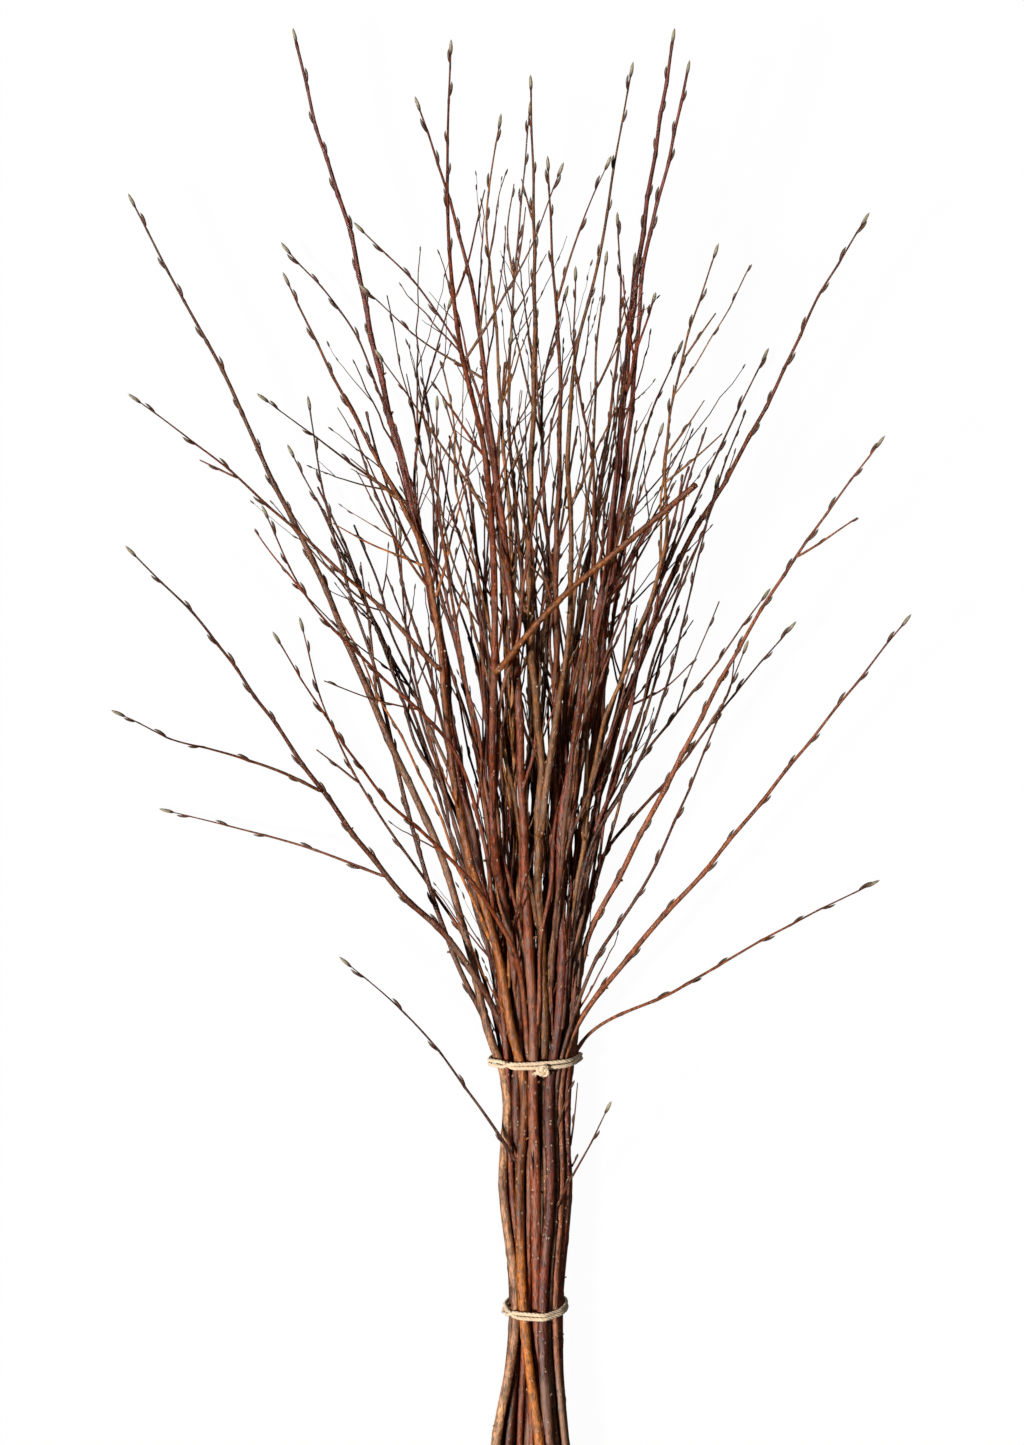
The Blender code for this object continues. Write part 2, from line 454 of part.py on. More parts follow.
class Heap:
    """All the chains together, as one array of points that the relaxation moves."""

    def __init__(self, chains):
        self.chains = chains
        starts = np.cumsum([0] + [len(c.points) for c in chains])
        self.slices = [slice(a, b) for a, b in zip(starts[:-1], starts[1:])]
        self.points = np.concatenate([c.points for c in chains])
        self.target = self.points.copy()
        self.radii = np.concatenate([c.radii for c in chains])
        self.ease = np.concatenate([np.full(len(c.points), c.ease) for c in chains])
        self.tie_line = from_photo(0, UPPER_TIE_ROW, 0)[1]
        number = {id(c): k for k, c in enumerate(chains)}
        self.low = np.concatenate([np.arange(a, b - 1) for a, b in zip(starts[:-1], starts[1:])])
        self.owner = np.concatenate([np.full(len(c.points) - 1, k) for k, c in enumerate(chains)])
        self.order = np.concatenate([np.arange(len(c.points) - 1) for c in chains])
        self.parent = np.array([number[id(c.parent)] if c.parent else -1 for c in chains])
        first, second = np.triu_indices(len(self.low), 1)
        a, b = self.owner[first], self.owner[second]
        apart = a != b
        near_fork = (self.parent[b] == a) & (self.order[second] == 0)
        near_fork |= (self.parent[a] == b) & (self.order[first] == 0)
        siblings = (self.parent[a] == self.parent[b]) & (self.parent[a] >= 0)
        siblings &= (self.order[first] == 0) & (self.order[second] == 0)
        keep = apart & ~near_fork & ~siblings
        self.first, self.second = self.low[first[keep]], self.low[second[keep]]

    def gaps(self, first, second):
        p = self.points
        s, t, between = closest(p[first], p[first + 1], p[second], p[second + 1])
        r = self.radii
        need = (1 - s) * r[first] + s * r[first + 1] + (1 - t) * r[second] + t * r[second + 1]
        return s, t, between, np.linalg.norm(between, axis=1), need

    def near(self, reach):
        """Pairs of segments that come within reach of each other."""
        _, _, _, far, need = self.gaps(self.first, self.second)
        close = far < need + reach
        return self.first[close], self.second[close]

    def push_apart(self, first, second, gap, rate):
        """Moves each pair that is too near apart, mostly up and down above the ties."""
        s, t, between, far, need = self.gaps(first, second)
        bad = far < need + gap
        first, second, s, t = first[bad], second[bad], s[bad], t[bad]
        lack = (need + gap - far)[bad]
        n = between[bad] / np.maximum(far[bad], 1e-9)[:, None]
        brush = np.clip((self.points[first, 1] - self.tie_line) / BRUSH_LENGTH, 0, 1)
        side = 1 - BRUSH_LOSS * brush
        m = n * np.column_stack([side, side * LENGTHWISE, np.ones_like(side)])
        m /= np.maximum((m * n).sum(1), LEAST_ACROSS)[:, None]
        weight = (1 - s) ** 2 + s ** 2 + (1 - t) ** 2 + t ** 2
        move = m * (rate * lack / weight)[:, None]
        part = 2 * self.ease[first] / (self.ease[first] + self.ease[second])
        here, there = part[:, None] * move, (2 - part)[:, None] * move
        total = np.zeros_like(self.points)
        np.add.at(total, first, (1 - s)[:, None] * here)
        np.add.at(total, first + 1, s[:, None] * here)
        np.add.at(total, second, -(1 - t)[:, None] * there)
        np.add.at(total, second + 1, -t[:, None] * there)
        self.points += total

    def keep_in_ties(self):
        """Draws the stems into the two ties, each an ellipse that rests on the table."""
        for k, chain in enumerate(self.chains):
            if chain.parent is not None:
                continue
            start = self.slices[k].start
            for row, (column, height), room in ((LOWER_TIE_ROW, LOWER_CENTRE, LOWER_ROOM),
                                                (UPPER_TIE_ROW, UPPER_CENTRE, UPPER_ROOM)):
                index = STATION_ROWS.index(row)
                centre = np.array(from_photo(column, row, height))[[0, 2]]
                point = self.points[start + index, [0, 2]] - centre
                free = np.array(room) - self.radii[start + index]
                out = math.hypot(*(point / free))
                if out > 1:
                    self.points[start + index, [0, 2]] = centre + point / out
                self.points[start + index, 1] = self.target[start + index, 1]

    def keep_shape(self, pull, smooth):
        """Spreads each move along its twig, so that a twig bends without a kink."""
        for k, chain in enumerate(self.chains):
            part = self.slices[k]
            moved = self.points[part] - self.target[part]
            inner = moved.copy()
            inner[1:-1] += smooth * (moved[:-2] + moved[2:] - 2 * moved[1:-1])
            inner[-1] += smooth * (moved[-2] - moved[-1])
            if chain.parent is None:
                inner[0] += smooth * (moved[1] - moved[0])
            else:
                inner[0] = moved[0]
            inner[1:, :2] *= 1 - pull
            self.points[part] = self.target[part] + inner

    def follow_parents(self):
        """Each branch is carried with the point of its parent that it grows from."""
        for k, chain in enumerate(self.chains):
            if chain.parent is None:
                continue
            part = self.slices[self.parent[k]]
            index = int(chain.place)
            share = chain.place - index
            fork = (1 - share) * self.points[part][index] + share * self.points[part][index + 1]
            here = self.slices[k]
            self.points[here] += fork - self.points[here.start]

    def above_table(self):
        self.points[:, 2] = np.maximum(self.points[:, 2], self.radii + 0.0001)

    def relax(self):
        """Spreads the twigs with room to spare, then settles them with less, and last without smoothing."""
        for step in range(STEPS):
            if step % NEAR_EVERY == 0:
                first, second = self.near(NEAR_REACH)
            settle = step > SPREAD_STEPS
            self.push_apart(first, second, CLEARANCE + SPARE_GAP * (not settle), PUSH_RATE)
            if step < SMOOTH_STEPS:
                self.keep_shape(0.0 if settle else PULL_BACK, SMOOTHING[settle])
            self.keep_in_ties()
            self.above_table()
            self.follow_parents()
        for chain, part in zip(self.chains, self.slices):
            chain.points = self.points[part].copy()


def extra_shoots(chains):
    """Short side shoots in the crown, fused to the twigs they grow from."""
    rng = np.random.default_rng(SEED)
    low, high = (np.array(from_photo(column, row, PHOTO_PLANE)[:2])
                 for column, row in zip(SHOOT_COLUMNS, SHOOT_ROWS))
    found = []
    for chain in chains:
        if chain.fused:
            continue
        inside = [k for k in range(3, len(chain.points) - 2)
                  if (low < chain.points[k, :2]).all() and (chain.points[k, :2] < high).all()]
        rng.shuffle(inside)
        for k in inside[:1]:
            place = k + 0.5
            fork, along, radius = chain.at(place)
            side = np.array([rng.choice([-1.0, 1.0]), 0.0, rng.uniform(-0.3, 0.9)])
            side -= side.dot(along) * along
            side /= np.linalg.norm(side)
            lean = math.radians(rng.uniform(*SHOOT_LEAN))
            length = rng.uniform(*SHOOT_LENGTH)
            heading = math.cos(lean) * along + math.sin(lean) * side
            points = [fork, fork + 0.5 * length * heading, fork + length * (heading + 0.12 * along)]
            thick = min(SHOOT_RADII[0], 0.55 * radius)
            name = chain.name + "_shoot"
            found.append(Chain(name, points, (thick, 0.8 * thick, SHOOT_RADII[1]), chain.colour, chain, True))
    return found


def build_chains():
    """Every twig, branch and fused shoot, relaxed to where it lies."""
    chains = [stem_chain(row) for row in STEMS]
    named = {c.name: c for c in chains}
    for name, parent, pixels, (thick, thin), rise, colour in BRANCHES:
        chain = branch_chain(name, named["twig_" + parent], pixels, thick, thin, rise, colour)
        named[chain.name] = chain
        chains.append(chain)
    for number, (parent, pixels) in enumerate(SHOOTS):
        grown = named["twig_" + parent]
        rise = 1000 * grown.at(grown.nearest(np.array(from_photo(*pixels[0], 0.03))))[0][2] + 4
        chains.append(branch_chain(f"{parent}_shoot_{number}", grown, pixels, 2.8, 1.5, rise,
                                   grown.colour, True))
    chains += extra_shoots(chains)
    heap = Heap(chains)
    heap.relax()
    return chains


def unit(v):
    return v / np.linalg.norm(v)


def frames(points, normal):
    """Tangent and one carried normal at each point of a path."""
    steps = np.diff(points, axis=0)
    steps /= np.linalg.norm(steps, axis=1)[:, None]
    tangents = np.vstack([steps[:1], steps[:-1] + steps[1:], steps[-1:]])
    tangents /= np.linalg.norm(tangents, axis=1)[:, None]
    normals = []
    for tangent in tangents:
        normal = unit(normal - normal.dot(tangent) * tangent)
        normals.append(normal)
    return tangents, np.array(normals)


def ring(centre, tangent, normal, radius, sides):
    """Corners of a regular section across a path."""
    turn = 2 * math.pi * np.arange(sides) / sides
    across = np.cross(tangent, normal)
    return centre + radius * (np.cos(turn)[:, None] * normal + np.sin(turn)[:, None] * across)


def skin(rings):
    """Side quads between rings of one size, with both ends open."""
    sides = len(rings[0])
    quads = []
    for k in range(len(rings) - 1):
        low = k * sides
        for j in range(sides):
            n = (j + 1) % sides
            quads.append((low + j, low + n, low + sides + n, low + sides + j))
    return quads


def bent_start(chain):
    """A separate branch's path: it stands off its parent's bark by a hair, then bends to its way."""
    fork, along, parent_radius = chain.parent.at(chain.place)
    radius = chain.radii[0]
    out = chain.points[1] - fork
    out = unit(out - out.dot(along) * along)
    heading = unit(chain.points[1] - fork)
    base = fork + out * (parent_radius + FORK_GAP)
    knee = base + out * 1.15 * radius + heading * 0.9 * radius
    points = np.vstack([base, knee, chain.points[1:]])
    radii = np.concatenate([[1.12 * radius, radius], chain.radii[1:]])
    return points, radii, out


def tube_path(chain):
    """Points, radii, tangents and normals along a node, and the rings that its bent start adds."""
    if chain.parent is None:
        return (chain.points, chain.radii, *frames(chain.points, np.array([1.0, 0.0, 0.0])), 0)
    points, radii, out = bent_start(chain)
    tangents, normals = frames(points, np.array([0.0, 0.0, 1.0]) + 0.1 * out)
    tangents[0] = out
    normals[0] = unit(normals[1] - normals[1].dot(out) * out)
    return points, radii, tangents, normals, 1


def ring_between(points, radii, normals, index, share):
    """A ring on the straight stretch that follows a ring, at a share of its length."""
    after = index + 1
    tangent = unit(points[after] - points[index])
    normal = (1 - share) * normals[index] + share * normals[after]
    centre = (1 - share) * points[index] + share * points[after]
    radius = (1 - share) * radii[index] + share * radii[after]
    return ring(centre, tangent, unit(normal - normal.dot(tangent) * tangent), radius, TWIG_SIDES)


def facing_quad(vertices, low, heading):
    """Of the quads between two rings, the one that faces a heading: its corners, middle and normal."""
    found = []
    for j in range(TWIG_SIDES):
        n = (j + 1) % TWIG_SIDES
        first, second = low * TWIG_SIDES, (low + 1) * TWIG_SIDES
        quad = (first + j, first + n, second + n, second + j)
        corners = np.array([vertices[i] for i in quad])
        normal = unit(np.cross(corners[1] - corners[0], corners[3] - corners[0]))
        found.append((normal.dot(heading), quad, corners.mean(0), normal))
    return max(found, key=lambda item: item[0])[1:]


def draw_out(vertices, faces, low, shoot, along):
    """Replaces one quad of the tube by a square tube that follows the shoot."""
    heading = unit(shoot.points[1] - shoot.points[0])
    quad, middle, normal = facing_quad(vertices, low, heading)
    faces.remove(quad)
    radius = shoot.radii[0]
    knee = middle + normal * 1.3 * radius + heading * 0.8 * radius
    path = np.vstack([middle, knee, shoot.points[1:]])
    radii = [radius, radius] + list(shoot.radii[1:])
    tangents, normals = frames(path, along)
    edge = np.array(vertices[quad[1]]) - np.array(vertices[quad[0]])
    previous = list(quad)
    for k in range(1, len(path)):
        across = np.cross(normals[k], tangents[k])
        across = across if across.dot(edge) > 0 else -across
        size = SQUARE_SHARE * radii[k]
        index = list(range(len(vertices), len(vertices) + SHOOT_SIDES))
        for back, right in ((-1, -1), (-1, 1), (1, 1), (1, -1)):
            vertices.append(path[k] + size * (back * normals[k] + right * across))
        for j in range(SHOOT_SIDES):
            n = (j + 1) % SHOOT_SIDES
            faces.append((previous[j], previous[n], index[n], index[j]))
        previous = index
    faces.append(tuple(previous))


def tube_with_shoots(chain, shoots):
    """Vertices and faces of one node: a tube, with a quad of it drawn out for each shoot."""
    points, radii, tangents, normals, added = tube_path(chain)
    rings, doors = [], {}
    for k in range(len(points)):
        rings.append(ring(points[k], tangents[k], normals[k], radii[k], TWIG_SIDES))
        for shoot in sorted(shoots, key=lambda item: item.place):
            share = shoot.place + added - k
            if not 0 <= share < 1:
                continue
            step = points[k + 1] - points[k]
            half = DOOR_SHARE * shoot.radii[0] / np.linalg.norm(step)
            doors[len(rings)] = (shoot, unit(step))
            rings.append(ring_between(points, radii, normals, k, share - half))
            rings.append(ring_between(points, radii, normals, k, share + half))
    vertices = [v for r in rings for v in r]
    faces = skin(rings)
    for low, (shoot, along) in doors.items():
        draw_out(vertices, faces, low, shoot, along)
    last = (len(rings) - 1) * TWIG_SIDES
    faces.append(tuple(range(TWIG_SIDES))[::-1])
    faces.append(tuple(range(last, last + TWIG_SIDES)))
    return np.array(vertices), faces


def add_object(name, vertices, faces, colour, roughness):
    """One named object with its own material."""
    mesh = bpy.data.meshes.new(name)
    mesh.from_pydata([tuple(v) for v in vertices], [], faces)
    mesh.update()
    node = bpy.data.objects.new(name, mesh)
    bpy.context.scene.collection.objects.link(node)
    material = bpy.data.materials.new(name + "_finish")
    material.use_nodes = True
    shader = material.node_tree.nodes["Principled BSDF"]
    shader.inputs["Base Color"].default_value = (*colour, 1.0)
    shader.inputs["Roughness"].default_value = roughness
    shader.inputs["Metallic"].default_value = 0.0
    mesh.materials.append(material)
    return node


def section_discs(stems, row, tilt, centre):
    """Discs (x, z, radius) where the stems pass through the slanted plane of a tie, and close by."""
    level = from_photo(0, row, centre[1])[1]
    discs = []
    for chain in stems:
        y = chain.points[:, 1]
        for off in np.linspace(-0.0038, 0.0038, 5):
            here = level + off
            for _ in range(3):
                z = np.interp(here, y, chain.points[:, 2])
                here = level + off - math.tan(tilt) * (z - centre[1])
            x = np.interp(here, y, chain.points[:, 0])
            discs.append((x, z, np.interp(here, y, chain.radii) * 1.03))
    return np.array(discs), level


def tie_loop(stems, row, tilt, lean, centre, count, stand_off):
    """Centreline of a tie: the taut loop round the stems, as points and outward normals."""
    discs, level = section_discs(stems, row, tilt, centre)
    turn = 2 * math.pi * np.arange(144) / 144
    way = np.column_stack([np.cos(turn), np.sin(turn)])
    reach = (discs[:, :2] @ way.T + discs[:, 2:]).max(0) + stand_off
    following = np.roll(reach, -1)
    gap = turn[1]
    along = (following - reach * math.cos(gap)) / math.sin(gap)
    corner = reach[:, None] * way + along[:, None] * np.column_stack([-way[:, 1], way[:, 0]])
    closed = np.vstack([corner, corner[:1]])
    length = np.concatenate([[0.0], np.cumsum(np.linalg.norm(np.diff(closed, axis=0), axis=1))])
    wanted = np.linspace(0, length[-1], count, endpoint=False)
    loop = np.column_stack([np.interp(wanted, length, closed[:, k]) for k in range(2)])
    middle_x = from_photo(centre[0], row, centre[1])[0]
    y = level - math.tan(tilt) * (loop[:, 1] - centre[1]) + lean * (loop[:, 0] - middle_x)
    points = np.column_stack([loop[:, 0], y, loop[:, 1]])
    steps = np.roll(points, -1, axis=0) - np.roll(points, 1, axis=0)
    steps /= np.linalg.norm(steps, axis=1)[:, None]
    axis = unit(np.array([lean, -1.0, -math.tan(tilt)]))
    outward = np.cross(axis, steps)
    outward /= np.linalg.norm(outward, axis=1)[:, None]
    middle = points.mean(0)
    if (outward * (points - middle)).sum() < 0:
        outward = -outward
    return points, steps, outward


def knot_spot(points, outward, row, centre, column):
    """Which point of a tie carries its knot: the one in front at a column, or one round the side."""
    if column is None:
        turn = math.radians(HIDDEN_KNOT_TURN)
        return int((outward @ np.array([math.cos(turn), 0.0, math.sin(turn)])).argmax())
    far = np.abs(points[:, 0] - from_photo(column, row, 2 * centre[1])[0])
    behind = points[:, 2] < centre[1]
    return int(np.where(behind, np.inf, far).argmin())


def tie_band(points, steps, outward):
    """Two turns of twine side by side, as one closed band with a waist between them."""
    half = TWINE / 2
    profile = ((-2.0, 0.0), (-1.4, -0.9), (0.0, -0.8), (1.4, -0.9),
               (2.0, 0.0), (1.35, 0.95), (0.0, 0.5), (-1.35, 0.95))
    across = np.cross(steps, outward)
    vertices = []
    for k in range(len(points)):
        vertices += [points[k] + half * (u * across[k] + v * outward[k]) for u, v in profile]
    size, count = len(profile), len(points)
    faces = []
    for k in range(count):
        n = (k + 1) % count
        for j in range(size):
            m = (j + 1) % size
            faces.append((k * size + j, k * size + m, n * size + m, n * size + j))
    return np.array(vertices), faces


def facing_out(vertices, faces):
    """The faces, turned round when they enclose a negative volume."""
    volume = 0.0
    for face in faces:
        a = vertices[face[0]]
        for j in range(1, len(face) - 1):
            volume += np.dot(a, np.cross(vertices[face[j]], vertices[face[j + 1]]))
    return faces if volume > 0 else [tuple(reversed(face)) for face in faces]


def knot_lump(centre, along, outward, size):
    """A squashed ball with a coarse waist, for the knot."""
    across = np.cross(along, outward)
    rows, sides = 5, 8
    vertices = [centre - size[0] * along]
    for k in range(1, rows):
        turn = math.pi * k / rows
        for j in range(sides):
            spin = 2 * math.pi * j / sides
            vertices.append(centre - size[0] * math.cos(turn) * along
                            + math.sin(turn) * (size[1] * math.cos(spin) * across
                                                + size[2] * math.sin(spin) * outward))
    vertices.append(centre + size[0] * along)
    faces = [(0, 1 + (j + 1) % sides, 1 + j) for j in range(sides)]
    for k in range(rows - 2):
        low = 1 + k * sides
        for j in range(sides):
            n = (j + 1) % sides
            faces.append((low + j, low + n, low + sides + n, low + sides + j))
    last = 1 + (rows - 2) * sides
    faces += [(len(vertices) - 1, last + j, last + (j + 1) % sides) for j in range(sides)]
    return np.array(vertices), faces


def tie_parts(stems, name, row, tilt, lean, centre, column):
    """The band of a tie and the lump of its knot, as two meshes."""
    points, steps, outward = tie_loop(stems, row, math.radians(tilt), lean, centre, TIE_POINTS,
                                      TIE_SLACK + TWINE / 2)
    spot = knot_spot(points, outward, row, centre, column)
    down = np.cross(steps[spot], outward[spot])
    down = down if down[1] < 0 else -down
    middle = points[spot] + KNOT_SEAT[0] * outward[spot] + KNOT_SEAT[1] * down
    return name, tie_band(points, steps, outward), knot_lump(middle, steps[spot], outward[spot], KNOT_SIZE)


def add_tie(name, band, lump, origin):
    """A tie as one solid: the band with its knot joined to it."""
    node = add_object(name, band[0] - origin, facing_out(*band), TWINE_COLOUR, 0.9)
    helper = add_object(name + "_knot", lump[0] - origin, facing_out(*lump), TWINE_COLOUR, 0.9)
    helper.hide_render = True
    helper.display_type = "WIRE"
    joined = node.modifiers.new("knot", "BOOLEAN")
    joined.operation = "UNION"
    joined.solver = "EXACT"
    joined.object = helper


def main():
    for old in list(bpy.data.objects):
        bpy.data.objects.remove(old, do_unlink=True)
    chains = build_chains()
    stems = [c for c in chains if c.parent is None]
    nodes = []
    for chain in chains:
        if chain.fused:
            continue
        grown = [c for c in chains if c.fused and c.parent is chain]
        vertices, faces = tube_with_shoots(chain, grown)
        nodes.append((chain.name, vertices, facing_out(vertices, faces), PALETTE[chain.colour]))
    ties = [tie_parts(stems, *tie) for tie in TIES]
    every = np.concatenate([node[1] for node in nodes] + [band[0] for _, band, _ in ties])
    low, high = every.min(0), every.max(0)
    origin = np.array([(low[0] + high[0]) / 2, (low[1] + high[1]) / 2, low[2]])
    for name, vertices, faces, colour in nodes:
        add_object(name, vertices - origin, faces, colour, 0.5)
    for name, band, lump in ties:
        add_tie(name, band, lump, origin)


main()
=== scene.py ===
"""The looks of the bundle of twigs.

The twigs' paths are worked out as in the part's source, from the same points read off the
photograph and the same relaxation, so each piece lies where its solid does. Every twig then gets
its bark, joints, buds, side shoots and cut end as one mesh, and each tie is wound from twine.
"""

import json
import math

import bpy
import numpy as np
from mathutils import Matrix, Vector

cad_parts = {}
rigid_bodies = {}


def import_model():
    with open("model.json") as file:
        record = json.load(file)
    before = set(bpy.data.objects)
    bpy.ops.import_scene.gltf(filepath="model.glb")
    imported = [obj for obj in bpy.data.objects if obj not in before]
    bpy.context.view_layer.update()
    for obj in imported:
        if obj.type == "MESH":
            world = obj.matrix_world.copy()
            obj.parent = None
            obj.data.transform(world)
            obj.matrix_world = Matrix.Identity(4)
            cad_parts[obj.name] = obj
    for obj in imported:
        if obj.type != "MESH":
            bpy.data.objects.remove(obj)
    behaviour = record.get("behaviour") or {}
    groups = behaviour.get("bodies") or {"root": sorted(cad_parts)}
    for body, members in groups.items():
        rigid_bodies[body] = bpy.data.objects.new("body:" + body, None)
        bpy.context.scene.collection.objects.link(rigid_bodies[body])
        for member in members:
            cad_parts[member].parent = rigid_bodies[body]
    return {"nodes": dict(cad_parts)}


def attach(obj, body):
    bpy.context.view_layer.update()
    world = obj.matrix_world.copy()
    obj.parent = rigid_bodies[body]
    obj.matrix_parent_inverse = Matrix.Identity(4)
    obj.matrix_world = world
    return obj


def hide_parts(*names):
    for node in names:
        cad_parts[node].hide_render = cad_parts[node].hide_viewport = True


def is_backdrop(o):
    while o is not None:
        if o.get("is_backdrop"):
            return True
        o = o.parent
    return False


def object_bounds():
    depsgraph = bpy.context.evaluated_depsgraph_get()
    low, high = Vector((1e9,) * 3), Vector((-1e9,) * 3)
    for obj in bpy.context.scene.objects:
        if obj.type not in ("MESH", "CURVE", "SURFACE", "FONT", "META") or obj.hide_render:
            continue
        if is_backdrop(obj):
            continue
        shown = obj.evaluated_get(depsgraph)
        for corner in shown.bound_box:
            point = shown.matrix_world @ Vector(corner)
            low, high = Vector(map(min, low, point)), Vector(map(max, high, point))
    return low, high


# The driving size: the two ties are 160 mm apart, which makes the twine 2.7 mm thick.
TIE_SPACING = 0.160
LOWER_TIE_ROW = 1312.0
UPPER_TIE_ROW = 1065.0
PIXEL = TIE_SPACING / (LOWER_TIE_ROW - UPPER_TIE_ROW)

# The camera that the photo is taken to have, straight above the lying bundle.
LENS_COLUMN = 512.0
LENS_ROW = 722.5
LENS_HEIGHT = 4.0
PHOTO_PLANE = 0.030

# Twine and the room inside each tie, in metres.
TWINE = 0.0027
TIE_SLACK = 0.0006
UPPER_ROOM = (0.0254, 0.0168)
LOWER_ROOM = (0.0177, 0.0197)
UPPER_CENTRE = (535.2, 0.0208)
LOWER_CENTRE = (536.0, 0.0236)

# Ties: name, row, tilt in degrees, lean, centre, column of the knot, or None where it is hidden.
TIES = (("upper_tie", UPPER_TIE_ROW - 5.5, 10.0, 0.035, UPPER_CENTRE, 543.0),
        ("lower_tie", LOWER_TIE_ROW - 6.0, 15.0, 0.05, LOWER_CENTRE, None))
HIDDEN_KNOT_TURN = 205.0
TIE_POINTS = 46
KNOT_SIZE = (0.0048, 0.0036, 0.0026)
# How far the knot's middle lies outward of the tie's centreline, and down from it.
KNOT_SEAT = (0.0015, 0.0014)

# Gaps between solids, in metres.
CLEARANCE = 0.00050
FORK_GAP = 0.00035

# How a twig thins: the share of its length is raised to this power. How a twig's height rises: likewise.
TAPER = 1.9
RISE = 1.25
# How much better a twig in front holds its place than one behind when the two are pushed apart.
HOLD = 0.92

# Side shoots in the crown: the rows and columns they grow between, lean in degrees, length and
# thickness in metres.
SHOOT_ROWS = (760, 330)
SHOOT_COLUMNS = (385, 668)
SHOOT_LEAN = (22, 36)
SHOOT_LENGTH = (0.055, 0.095)
SHOOT_RADII = (0.0011, 0.00045)

RING_SPACING = 0.066
TWIG_SIDES = 5
SHOOT_SIDES = 4
# A shoot is a square tube this large for its radius, and its opening in the stem is this long.
SQUARE_SHARE = 0.95
DOOR_SHARE = 1.5
SEED = 41

# The relaxation: steps in all, when it stops spreading twigs, and when it stops smoothing them.
STEPS = 640
SPREAD_STEPS = 440
SMOOTH_STEPS = 570
# How often, in steps, and how widely, in metres, it looks for near pairs.
NEAR_EVERY = 14
NEAR_REACH = 0.012
SPARE_GAP = 0.0003
PUSH_RATE = 0.42
# Over this length above the upper tie a push loses this share of its sideways part.
BRUSH_LENGTH = 0.15
BRUSH_LOSS = 0.6
# A push's share along the twigs, and the least share of it that counts across the gap.
LENGTHWISE = 0.3
LEAST_ACROSS = 0.25
# The pull back to the photo's places, and the smoothing of moves, at first and while it settles.
PULL_BACK = 0.004
SMOOTHING = (0.22, 0.02)

# Rows of the five stations of a stem, from its cut end to the upper tie.
STATION_ROWS = (1540.0, 1445.0, LOWER_TIE_ROW, 1190.0, UPPER_TIE_ROW)
# Row of the next ring, just above the upper tie, so that the outer stems flare only from there.
NECK_ROW = 1048.0
# Height of the bundle's axis and the half height of its section there, in metres.
STATION_AXIS = (0.0225, 0.0215, 0.0212, 0.0208, 0.0205)
STATION_HALF = (0.0165, 0.0150, 0.0150, 0.0155, 0.0155)

